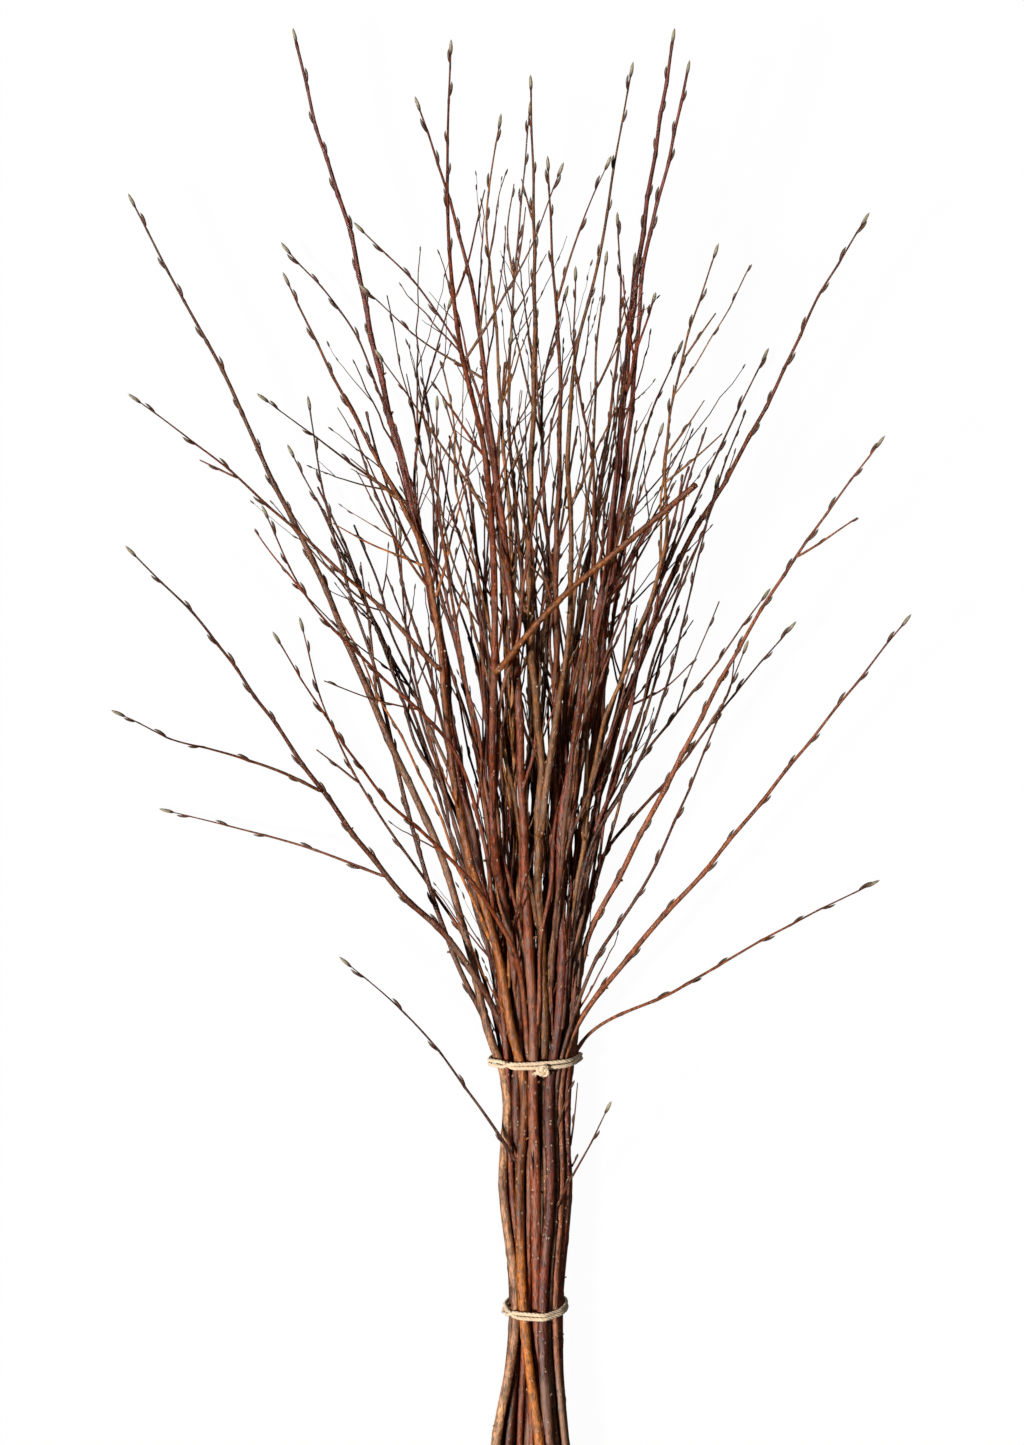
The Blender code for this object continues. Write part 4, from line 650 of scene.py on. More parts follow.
    def relax(self):
        """Spreads the twigs with room to spare, then settles them with less, and last without smoothing."""
        for step in range(STEPS):
            if step % NEAR_EVERY == 0:
                first, second = self.near(NEAR_REACH)
            settle = step > SPREAD_STEPS
            self.push_apart(first, second, CLEARANCE + SPARE_GAP * (not settle), PUSH_RATE)
            if step < SMOOTH_STEPS:
                self.keep_shape(0.0 if settle else PULL_BACK, SMOOTHING[settle])
            self.keep_in_ties()
            self.above_table()
            self.follow_parents()
        for chain, part in zip(self.chains, self.slices):
            chain.points = self.points[part].copy()


def extra_shoots(chains):
    """Short side shoots in the crown, fused to the twigs they grow from."""
    rng = np.random.default_rng(SEED)
    low, high = (np.array(from_photo(column, row, PHOTO_PLANE)[:2])
                 for column, row in zip(SHOOT_COLUMNS, SHOOT_ROWS))
    found = []
    for chain in chains:
        if chain.fused:
            continue
        inside = [k for k in range(3, len(chain.points) - 2)
                  if (low < chain.points[k, :2]).all() and (chain.points[k, :2] < high).all()]
        rng.shuffle(inside)
        for k in inside[:1]:
            place = k + 0.5
            fork, along, radius = chain.at(place)
            side = np.array([rng.choice([-1.0, 1.0]), 0.0, rng.uniform(-0.3, 0.9)])
            side -= side.dot(along) * along
            side /= np.linalg.norm(side)
            lean = math.radians(rng.uniform(*SHOOT_LEAN))
            length = rng.uniform(*SHOOT_LENGTH)
            heading = math.cos(lean) * along + math.sin(lean) * side
            points = [fork, fork + 0.5 * length * heading, fork + length * (heading + 0.12 * along)]
            thick = min(SHOOT_RADII[0], 0.55 * radius)
            name = chain.name + "_shoot"
            found.append(Chain(name, points, (thick, 0.8 * thick, SHOOT_RADII[1]), chain.colour, chain, True))
    return found


def build_chains():
    """Every twig, branch and fused shoot, relaxed to where it lies."""
    chains = [stem_chain(row) for row in STEMS]
    named = {c.name: c for c in chains}
    for name, parent, pixels, (thick, thin), rise, colour in BRANCHES:
        chain = branch_chain(name, named["twig_" + parent], pixels, thick, thin, rise, colour)
        named[chain.name] = chain
        chains.append(chain)
    for number, (parent, pixels) in enumerate(SHOOTS):
        grown = named["twig_" + parent]
        rise = 1000 * grown.at(grown.nearest(np.array(from_photo(*pixels[0], 0.03))))[0][2] + 4
        chains.append(branch_chain(f"{parent}_shoot_{number}", grown, pixels, 2.8, 1.5, rise,
                                   grown.colour, True))
    chains += extra_shoots(chains)
    heap = Heap(chains)
    heap.relax()
    return chains


def unit(v):
    return v / np.linalg.norm(v)


def section_discs(stems, row, tilt, centre):
    """Discs (x, z, radius) where the stems pass through the slanted plane of a tie, and close by."""
    level = from_photo(0, row, centre[1])[1]
    discs = []
    for chain in stems:
        y = chain.points[:, 1]
        for off in np.linspace(-0.0038, 0.0038, 5):
            here = level + off
            for _ in range(3):
                z = np.interp(here, y, chain.points[:, 2])
                here = level + off - math.tan(tilt) * (z - centre[1])
            x = np.interp(here, y, chain.points[:, 0])
            discs.append((x, z, np.interp(here, y, chain.radii) * 1.03))
    return np.array(discs), level


def tie_loop(stems, row, tilt, lean, centre, count, stand_off):
    """Centreline of a tie: the taut loop round the stems, as points and outward normals."""
    discs, level = section_discs(stems, row, tilt, centre)
    turn = 2 * math.pi * np.arange(144) / 144
    way = np.column_stack([np.cos(turn), np.sin(turn)])
    reach = (discs[:, :2] @ way.T + discs[:, 2:]).max(0) + stand_off
    following = np.roll(reach, -1)
    gap = turn[1]
    along = (following - reach * math.cos(gap)) / math.sin(gap)
    corner = reach[:, None] * way + along[:, None] * np.column_stack([-way[:, 1], way[:, 0]])
    closed = np.vstack([corner, corner[:1]])
    length = np.concatenate([[0.0], np.cumsum(np.linalg.norm(np.diff(closed, axis=0), axis=1))])
    wanted = np.linspace(0, length[-1], count, endpoint=False)
    loop = np.column_stack([np.interp(wanted, length, closed[:, k]) for k in range(2)])
    middle_x = from_photo(centre[0], row, centre[1])[0]
    y = level - math.tan(tilt) * (loop[:, 1] - centre[1]) + lean * (loop[:, 0] - middle_x)
    points = np.column_stack([loop[:, 0], y, loop[:, 1]])
    steps = np.roll(points, -1, axis=0) - np.roll(points, 1, axis=0)
    steps /= np.linalg.norm(steps, axis=1)[:, None]
    axis = unit(np.array([lean, -1.0, -math.tan(tilt)]))
    outward = np.cross(axis, steps)
    outward /= np.linalg.norm(outward, axis=1)[:, None]
    middle = points.mean(0)
    if (outward * (points - middle)).sum() < 0:
        outward = -outward
    return points, steps, outward


def knot_spot(points, outward, row, centre, column):
    """Which point of a tie carries its knot: the one in front at a column, or one round the side."""
    if column is None:
        turn = math.radians(HIDDEN_KNOT_TURN)
        return int((outward @ np.array([math.cos(turn), 0.0, math.sin(turn)])).argmax())
    far = np.abs(points[:, 0] - from_photo(column, row, 2 * centre[1])[0])
    behind = points[:, 2] < centre[1]
    return int(np.where(behind, np.inf, far).argmin())


def catmull(points, radii, spacing, forked=False):
    """Smooth curve through the chain: a cubic on each span whose slopes are those of its neighbours.

    A branch leaves its fork with the slope of its second span, so that it doesn't swing out first.
    """
    along = np.concatenate([[0.0], np.cumsum(np.linalg.norm(np.diff(points, axis=0), axis=1))])
    slope = np.gradient(points, along, axis=0)
    if forked:
        slope[1] = (points[2] - points[1]) / (along[2] - along[1])
        slope[0] = 0.5 * slope[1] + 0.5 * (points[1] - points[0]) / along[1]
    count = int(along[-1] / spacing) + 2
    wanted = np.linspace(0.0, along[-1], count)
    k = np.clip(np.searchsorted(along, wanted, side="right") - 1, 0, len(along) - 2)
    span = (along[k + 1] - along[k])[:, None]
    t = (wanted - along[k])[:, None] / span
    curve = ((2 * t ** 3 - 3 * t ** 2 + 1) * points[k] + (t ** 3 - 2 * t ** 2 + t) * span * slope[k]
             + (3 * t ** 2 - 2 * t ** 3) * points[k + 1] + (t ** 3 - t ** 2) * span * slope[k + 1])
    return curve, np.interp(wanted, along, radii), wanted


class Surface:
    """Vertices, faces, UVs and point attributes gathered for one mesh."""

    FIELDS = ("age", "tone", "bud", "scar", "cut")

    def __init__(self):
        self.points = []
        self.fields = {name: [] for name in self.FIELDS}
        self.quads = []
        self.quad_uv = []
        self.tris = []
        self.tri_uv = []
        self.count = 0

    def add(self, points, fields, quads, quad_uv, tris, tri_uv):
        points = points.reshape(-1, 3)
        self.points.append(points)
        for name in self.FIELDS:
            self.fields[name].append(np.broadcast_to(fields.get(name, 0.0), (len(points),)).astype(np.float32))
        self.quads.append(quads.reshape(-1, 4) + self.count)
        self.quad_uv.append(quad_uv.reshape(-1, 4, 2))
        self.tris.append(tris.reshape(-1, 3) + self.count)
        self.tri_uv.append(tri_uv.reshape(-1, 3, 2))
        self.count += len(points)

    def object(self, name, materials):
        points = np.concatenate(self.points).astype(np.float32)
        quads, tris = np.concatenate(self.quads), np.concatenate(self.tris)
        uv = np.concatenate([np.concatenate(self.quad_uv).reshape(-1, 2),
                             np.concatenate(self.tri_uv).reshape(-1, 2)]).astype(np.float32)
        loops = np.concatenate([quads.ravel(), tris.ravel()]).astype(np.int32)
        total = np.concatenate([np.full(len(quads), 4), np.full(len(tris), 3)]).astype(np.int32)
        mesh = bpy.data.meshes.new(name)
        mesh.vertices.add(len(points))
        mesh.vertices.foreach_set("co", points.ravel())
        mesh.loops.add(len(loops))
        mesh.loops.foreach_set("vertex_index", loops)
        mesh.polygons.add(len(total))
        mesh.polygons.foreach_set("loop_start", np.concatenate([[0], np.cumsum(total)[:-1]]).astype(np.int32))
        mesh.polygons.foreach_set("loop_total", total)
        mesh.update(calc_edges=True)
        mesh.polygons.foreach_set("use_smooth", np.ones(len(total), bool))
        mesh.uv_layers.new(name="UVMap").data.foreach_set("uv", uv.ravel())
        for field in self.FIELDS:
            values = np.concatenate(self.fields[field])
            mesh.attributes.new(field, "FLOAT", "POINT").data.foreach_set("value", values)
        mesh.validate()
        for material in materials:
            mesh.materials.append(material)
        made = bpy.data.objects.new(name, mesh)
        bpy.context.scene.collection.objects.link(made)
        return made


def normalised(v):
    return v / np.maximum(np.linalg.norm(v, axis=-1, keepdims=True), 1e-12)


def path_frames(paths):
    """Tangent, and two directions across, at each point of a stack of paths (tube, ring, xyz)."""
    tangent = normalised(np.gradient(paths, axis=1))
    mean = np.abs(normalised(tangent.mean(1, keepdims=True)))
    reference = np.where(mean[..., 2:] < 0.85, np.array([0.0, 0.0, 1.0]), np.array([1.0, 0.0, 0.0]))
    side = normalised(np.cross(reference, tangent))
    return tangent, side, np.cross(tangent, side)


def ring_faces(tubes, rings, sides):
    """Quads between rings and triangles to the two poles, for a stack of tubes of one size."""
    size = rings * sides + 2
    t = (np.arange(tubes) * size)[:, None, None]
    i = (np.arange(rings - 1) * sides)[None, :, None]
    j = np.arange(sides)[None, None, :]
    n = (j + 1) % sides
    quads = np.stack([t + i + j, t + i + n, t + i + sides + n, t + i + sides + j], axis=-1)
    t, j, n = t[:, 0], j[0], n[0]
    first, last = t + rings * sides, t + rings * sides + 1
    low = np.stack([np.broadcast_to(first, (tubes, sides)), t + n, t + j], axis=-1)
    top = (rings - 1) * sides
    high = np.stack([np.broadcast_to(last, (tubes, sides)), t + top + j, t + top + n], axis=-1)
    return quads, np.stack([low, high], axis=1)


def add_tubes(surface, paths, radii, sides, fields, ripple=0.0, ends=(0.3, 0.6), along=None):
    """Round tubes along paths: centre + radius (cos a side + sin a up), closed by a pole at each end."""
    tubes, rings = radii.shape
    tangent, side, up = path_frames(paths)
    turn = 2 * math.pi * np.arange(sides) / sides - math.pi / 2
    wave = 1 + ripple * np.sin(3 * turn[None, None, :] + 40 * paths[..., 1:2] + 5 * radii[:, :1, None] / 0.001)
    reach = radii[..., None] * wave
    points = paths[:, :, None] + reach[..., None] * (np.cos(turn)[:, None] * side[:, :, None]
                                                   + np.sin(turn)[:, None] * up[:, :, None])
    poles = np.stack([paths[:, 0] - ends[0] * radii[:, :1] * tangent[:, 0],
                      paths[:, -1] + ends[1] * radii[:, -1:] * tangent[:, -1]], axis=1)
    every = np.concatenate([points.reshape(tubes, -1, 3), poles], axis=1)
    spread = {}
    for name, value in fields.items():
        value = np.broadcast_to(value, (tubes, rings))
        ringed = np.repeat(value, sides, axis=1)
        spread[name] = np.concatenate([ringed, value[:, :1], value[:, -1:]], axis=1).ravel()
    quads, tris = ring_faces(tubes, rings, sides)
    if along is None:
        steps = np.linalg.norm(np.diff(paths, axis=1), axis=2)
        along = np.concatenate([np.zeros((tubes, 1)), np.cumsum(steps, axis=1)], axis=1)
    u = np.arange(sides + 1) / sides
    low, high = along[:, :-1, None], along[:, 1:, None]
    shape = (tubes, rings - 1, sides)
    uv = np.stack([np.stack([np.broadcast_to(a, shape), np.broadcast_to(b, shape)], axis=-1)
                   for a, b in ((u[:-1], low), (u[1:], low), (u[1:], high), (u[:-1], high))], axis=-2)
    surface.add(every, spread, quads, uv, tris, np.zeros((tris.size // 3, 3, 2)))


def add_cut_end(surface, centre, tangent, side, up, radius, sides, tone):
    """Flat cut across a stem: rings of wood round the pith, just proud of the bark's end."""
    shares = np.array([1.0, 0.86, 0.5, 0.16])
    turn = 2 * math.pi * np.arange(sides) / sides
    ring = np.cos(turn)[:, None] * side + np.sin(turn)[:, None] * up
    front = centre + radius * shares[:, None, None] * ring
    back = centre + 0.0010 * tangent + 0.9 * radius * ring
    points = np.concatenate([back[None], front]).reshape(-1, 3)
    points = np.vstack([points, centre + 0.0010 * tangent, centre])
    quads, tris = (faces[..., ::-1] for faces in ring_faces(1, 5, sides))
    cut = np.concatenate([np.repeat([0.0, 0.35, 1.0, 0.8, 0.6], sides), [0.0, 0.5]])
    surface.add(points, {"cut": cut, "tone": tone, "age": 1.0}, quads,
                np.zeros((quads.size // 4, 4, 2)), tris, np.zeros((tris.size // 3, 3, 2)))


def add_buds(surface, base, along, out, length, width, tone, lean=0.14, pale=0.42):
    """Pointed buds: oval sections on an axis that leans out from the bark, then turns back along it.

    The half width at share s of the length goes as (s + 0.05)^0.5 (1 - s)^0.6, scaled to peak at 1.
    """
    if len(base) == 0:
        return
    rows, sides = 7, 6
    s = np.linspace(0.0, 1.0, rows)
    swell = (s + 0.05) ** 0.5 * (1.0001 - s) ** 0.6
    swell = swell / swell.max()
    swell[-1] = 0.10
    axis = base[:, None] + length[:, None, None] * (
        s[None, :, None] * along[:, None] + lean * (s - 0.6 * s ** 2)[None, :, None] * out[:, None])
    across = normalised(np.cross(along, out))
    turn = 2 * math.pi * np.arange(sides) / sides
    scales = 1 + 0.07 * np.sin(9.0 * s[:, None] + turn[None, :])
    reach = 0.5 * width[:, None, None] * (swell[:, None] * scales)[None]
    ring = (np.cos(turn)[None, :, None] * across[:, None] + 0.85 * np.sin(turn)[None, :, None] * out[:, None])
    points = axis[:, :, None] + reach[..., None] * ring[:, None]
    tip = axis[:, -1] + 0.03 * length[:, None] * along
    every = np.concatenate([points.reshape(len(base), -1, 3), axis[:, :1, :], tip[:, None]], axis=1)
    count = len(base)
    quads, tris = ring_faces(count, rows, sides)
    flipped = np.cross(across[0], 0.82 * out[0]).dot(along[0]) < 0
    if flipped:
        quads, tris = quads[..., ::-1], tris[..., ::-1]
    share = np.concatenate([np.repeat(0.15 + (pale - 0.15) * s, sides), [0.15, pale]])
    surface.add(every, {"bud": np.tile(share, count), "tone": np.repeat(tone, rows * sides + 2), "age": 0.2},
                quads, np.zeros((quads.size // 4, 4, 2)), tris, np.zeros((tris.size // 3, 3, 2)))


def zigzag(along, joints, amount, rng):
    """Sideways offset that turns at each joint of the twig, as two slow waves of linear runs."""
    signs = np.where(np.arange(len(joints)) % 2 == 0, 1.0, -1.0) * rng.uniform(0.5, 1.0, len(joints))
    return amount * np.interp(along, joints, signs)


def joints_along(length, near, far, rng):
    """Places of the joints from the cut end to the tip, closer together towards the tip."""
    places, here = [], min(0.4 * near, 0.5 * length)
    while here < length:
        places.append(here)
        share = here / length
        here += (near + (far - near) * share) * rng.uniform(0.75, 1.25)
    return np.array(places)


CROWN_ROWS = (280, 330, 400, 500, 600, 700, 760, 850, 930)
CROWN_LEFT = (470, 430, 395, 372, 362, 385, 402, 440, 470)
CROWN_RIGHT = (585, 630, 662, 668, 668, 650, 636, 615, 590)
CROWN_FILL = (0.2, 0.7, 1.0, 1.0, 1.0, 0.9, 0.75, 0.45, 0.15)
# A twig's bark is slimmer than its solid near the tip: metres from the tip, and by how much.
SLIM_AT = (0.0, 0.08, 0.26)
SLIM_BY = (0.58, 0.78, 1.0)
# How light the bark of some stems is along them, from 0 to 1: rows, then the tone at each.
LOCAL_TONES = {
    "twig_left_long": ((560, 950, 1060, 1420), (0.3, 0.5, 0.9, 0.9)),
    "twig_golden": ((560, 700, 1000, 1075, 1090, 1225, 1270), (0.45, 0.3, 0.6, 0.45, 0.0, 0.05, 0.85)),
    "twig_central": ((560, 760, 1040, 1100, 1300, 1420), (0.35, 0.3, 0.45, 0.62, 0.50, 0.6)),
    "twig_plum": ((700, 1060, 1100, 1200, 1260), (0.3, 0.1, 0.0, 0.2, 0.5)),
}
# The one branch that ends in a break, with no bud.
BLUNT = "twig_orange_branch"
# Where a stem must lie in the crown to have companions.
COMPANION_ROW = 590.0


def crown_fill(points):
    """How thick with side shoots the brush is at a point, from 0 to 1."""
    row = LENS_ROW - points[:, 1] / PIXEL
    column = LENS_COLUMN + points[:, 0] / PIXEL
    inside = (column > np.interp(row, CROWN_ROWS, CROWN_LEFT)) & (column < np.interp(row, CROWN_ROWS, CROWN_RIGHT))
    return np.interp(row, CROWN_ROWS, CROWN_FILL, left=0.0, right=0.0) * inside


def grow(rng, base, heading, climb, length, rings=11):
    """Paths of side shoots: base + length (s heading + bend s^2 climb), with a small zigzag."""
    s = np.linspace(0.0, 1.0, rings)[None, :, None]
    bend = rng.uniform(0.0, 0.22, (len(base), 1, 1))
    path = s * heading[:, None] + bend * s ** 2 * climb[:, None]
    sideways = normalised(np.cross(heading, climb + 0.01))[:, None]
    kinks = rng.uniform(-1, 1, (len(base), rings, 1))
    kinks[:, 1::2] = 0.5 * (kinks[:, 1::2] + kinks[:, :-1:2])
    lifted = normalised(np.cross(sideways, heading[:, None]))
    other = rng.uniform(-1, 1, (len(base), rings, 1))
    path = path + 0.016 * s ** 0.5 * (kinks * sideways + 0.6 * other * lifted)
    return base[:, None] + length[:, None, None] * path


class Twig:
    """The fine centreline of one chain, with what grows from it."""

    def __init__(self, chain, rng, parent=None, spacing=0.0030):
        self.chain = chain
        points, radii = chain.points, chain.radii
        if chain.parent is not None:
            fork, tangent, parent_radius = parent.at(chain.place)
            out = points[1] - fork
            out = unit(out - out.dot(tangent) * tangent)
            knee = fork + out * (0.8 * parent_radius) + unit(points[1] - fork) * 2.2 * radii[0]
            points = np.vstack([fork + out * 0.2 * parent_radius, knee, points[1:]])
            radii = np.concatenate([[1.3 * radii[0], 1.04 * radii[0]], radii[1:]])
        path, radius, along = catmull(points, radii, spacing, chain.parent is not None)
        marks = np.concatenate([[0.0], np.cumsum(np.linalg.norm(np.diff(points, axis=0), axis=1))])
        self.marks = marks if chain.parent is None else np.delete(marks, 1)
        length = along[-1]
        joints = joints_along(length, 0.040, 0.023, rng)
        _, side, up = path_frames(path[None])
        tied = np.clip((path[:, 1] - from_photo(0, UPPER_TIE_ROW - 40, 0)[1]) / 0.10, 0, 1)
        if chain.parent is not None:
            tied = np.clip(along / 0.03, 0, 1)
        amount = 0.00115 * tied * np.clip(1 - along / length + 0.35, 0, 1)
        spin = rng.uniform(0, math.pi)
        one, two = zigzag(along, joints, amount, rng), zigzag(along, joints, 0.6 * amount, rng)
        path = path + (one * math.cos(spin) - two * math.sin(spin))[:, None] * side[0]
        path = path + (one * math.sin(spin) + two * math.cos(spin))[:, None] * up[0]
        knot = np.exp(-((along[:, None] - joints[None, :]) / 0.0022) ** 2).sum(1)
        self.knot = np.clip(knot, 0, 1)
        swell = np.interp(along, joints, rng.uniform(-0.06, 0.06, len(joints)))
        if not (chain.fused or chain.name == BLUNT or chain.colour == "wine"):
            radius = radius * np.interp(length - along, SLIM_AT, SLIM_BY)
        self.radius = radius * (1 + 0.17 * self.knot * np.clip(0.0025 / radius, 0.5, 1.6) + swell)
        self.path, self.along, self.joints, self.length = path, along, joints, length
        top_age = 0.58 if chain.parent is not None else 0.86
        self.age = top_age * np.clip(1 - along / length, 0, 1) ** 0.8
        self.tone = rng.uniform(0, 1)
        self.index = np.clip(np.searchsorted(along, joints), 1, len(along) - 2)
        tangent, side, up = path_frames(path[None])
        self.tangent, self.side, self.up = tangent[0], side[0], up[0]

    def at(self, place):
        """Point, direction and radius at a place counted in the chain's rings."""
        along = np.interp(place, np.arange(len(self.marks)), self.marks)
        point = np.array([np.interp(along, self.along, self.path[:, k]) for k in range(3)])
        near = int(np.clip(np.searchsorted(self.along, along), 1, len(self.along) - 1))
        return point, self.tangent[near], float(np.interp(along, self.along, self.radius))


def side_shoots(twig, rng, many, shortest=0.018):
    """Fine shoots at the joints of a twig inside the crown: base, heading, climb, length, radius."""
    places = twig.index
    fill = crown_fill(twig.path[places])
    k = np.repeat(places, rng.poisson(many * fill))
    if len(k) == 0:
        return None
    turn = rng.uniform(0, 2 * math.pi, len(k))
    flat = normalised(np.cos(turn)[:, None] * twig.side[k] + 0.75 * np.sin(turn)[:, None] * twig.up[k])
    lean = np.radians(rng.uniform(12, 36, len(k)))[:, None]
    heading = np.cos(lean) * twig.tangent[k] + np.sin(lean) * flat
    length = np.clip(rng.lognormal(math.log(0.048), 0.5, len(k)), shortest, 0.120)
    thick = np.clip(0.00045 + 0.0060 * length * rng.uniform(0.6, 1.1, len(k)), 0.00045, 0.0010)
    thick = np.minimum(thick, 0.75 * twig.radius[k])
    climb = normalised(twig.tangent[k] - 0.8 * flat + rng.normal(0, 0.25, (len(k), 3)))
    return twig.path[k], heading, climb, length, thick


def keep_in(paths, radii, box):
    """Bends paths back into the solids' box, and above the table."""
    low, high = box[0] + 0.0004, box[1] - 0.0004
    pad = radii[..., None]
    return np.minimum(np.maximum(paths, low + pad), high - pad)


def add_shoots(surface, rng, batch, box, tone, age=0.42, deeper=True):
    """Tubes of a batch of side shoots, with shoots of their own on the longer ones, and small buds."""
    base, heading, climb, length, thick = batch
    paths = grow(rng, base, heading, climb, length)
    s = np.linspace(0, 1, paths.shape[1])[None]
    radii = thick[:, None] * (1 - 0.58 * s)
    paths = keep_in(paths, radii, box)
    tones = np.clip(tone + rng.uniform(-0.35, 0.35, len(base)), 0, 1)
    add_tubes(surface, paths, radii, 5, {"age": age * (1 - s) + 0.0 * radii, "tone": tones[:, None] + 0 * s})
    tangent, side, up = path_frames(paths)
    for ring in (3, 5, 8, 10):
        chosen = np.flatnonzero((rng.random(len(base)) < (0.8 if ring == 10 else 0.4)) & (length > 0.022))
        if len(chosen) == 0:
            continue
        flip = rng.choice([-1.0, 1.0], len(chosen))[:, None]
        out = flip * side[chosen, ring] + 0.4 * up[chosen, ring]
        size = rng.uniform(0.0032, 0.0050, len(chosen))
        at = paths[chosen, ring] + (0.0 if ring == 10 else 0.5) * radii[chosen, ring][:, None] * out
        way = tangent[chosen, ring]
        add_buds(surface, at, way, normalised(out - (out * way).sum(1)[:, None] * way),
                 size, 0.28 * size, tones[chosen])
    if not deeper:
        return
    rows = np.flatnonzero(length > 0.040)
    rows = rows[rng.random(len(rows)) < 0.75]
    if len(rows) == 0:
        return
    ring = rng.integers(3, 8, len(rows))
    turn = rng.uniform(0, 2 * math.pi, len(rows))[:, None]
    flat = normalised(np.cos(turn) * side[rows, ring] + 0.8 * np.sin(turn) * up[rows, ring])
    lean = np.radians(rng.uniform(18, 42, len(rows)))[:, None]
    onward = np.cos(lean) * tangent[rows, ring] + np.sin(lean) * flat
    bend = normalised(tangent[rows, ring] - 0.7 * flat + rng.normal(0, 0.2, (len(rows), 3)))
    add_shoots(surface, rng, (paths[rows, ring], onward, bend, length[rows] * rng.uniform(0.35, 0.65, len(rows)),
                              0.7 * radii[rows, ring]), box, tone, age=0.3, deeper=False)


def tie_rope(path, outward, across, radius, pitch, surface, tone):
    """Three plies laid round a path: each ply is a helix of 0.48 radius, and 0.58 radius thick."""
    steps = np.linalg.norm(np.diff(path, axis=0), axis=1)
    along = np.concatenate([[0.0], np.cumsum(steps)])
    turn = 2 * math.pi * along / pitch
    angle = turn + 2 * math.pi * np.arange(3)[:, None] / 3
    plies = path + 0.48 * radius * (np.cos(angle)[..., None] * outward + np.sin(angle)[..., None] * across)
    thick = 0.58 * radius * (1 + 0.06 * np.sin(0.9 * turn + np.array([0.0, 2.0, 4.0])[:, None]))
    add_tubes(surface, plies, thick, 8, {"tone": tone + np.array([[0.0], [0.12], [-0.1]]) + 0 * thick})
    return plies


def add_fibres(surface, rng, paths, radius, count, longest):
    """Loose hairs of the twine, each a thin bent tube that leaves the rope's side."""
    ply = rng.integers(0, len(paths), count)
    ring = rng.integers(2, paths.shape[1] - 2, count)
    base = paths[ply, ring]
    way = normalised(paths[ply, ring + 1] - base)
    out = normalised(np.cross(way, rng.normal(0, 1, (count, 3))))
    length = rng.uniform(0.25, 1.0, count) * longest
    s = np.linspace(0, 1, 5)[None, :, None]
    lean = rng.uniform(0.3, 1.2, (count, 1, 1))
    curl = rng.uniform(-0.5, 0.5, (count, 1, 1))
    side = np.cross(way, out)[:, None]
    hair = base[:, None] + length[:, None, None] * (s * way[:, None] + lean * s * out[:, None] + curl * s ** 2 * side)
    thick = radius * (1 - 0.6 * s[..., 0]) + 0 * length[:, None]
    add_tubes(surface, hair, thick, 3, {"tone": 0.85 + 0 * thick})


def knot_rope(centre, one, two, out, size):
    """Rope path of the knot: a trefoil, (2 + cos 3t) cos 2t by (2 + cos 3t) sin 2t, humped by sin 3t."""
    t = np.linspace(0, 2 * math.pi, 150, endpoint=True)[:, None]
    return (centre + size * 0.34 * ((2 + np.cos(3 * t)) * np.cos(2 * t) * one * 1.12
                                    + (2 + np.cos(3 * t)) * np.sin(2 * t) * two)
            + size * 0.50 * np.sin(3 * t) * out)


def rope_frame(path, reference):
    tangent = normalised(np.gradient(path, axis=0))
    side = normalised(np.cross(reference, tangent))
    return side, np.cross(tangent, side)


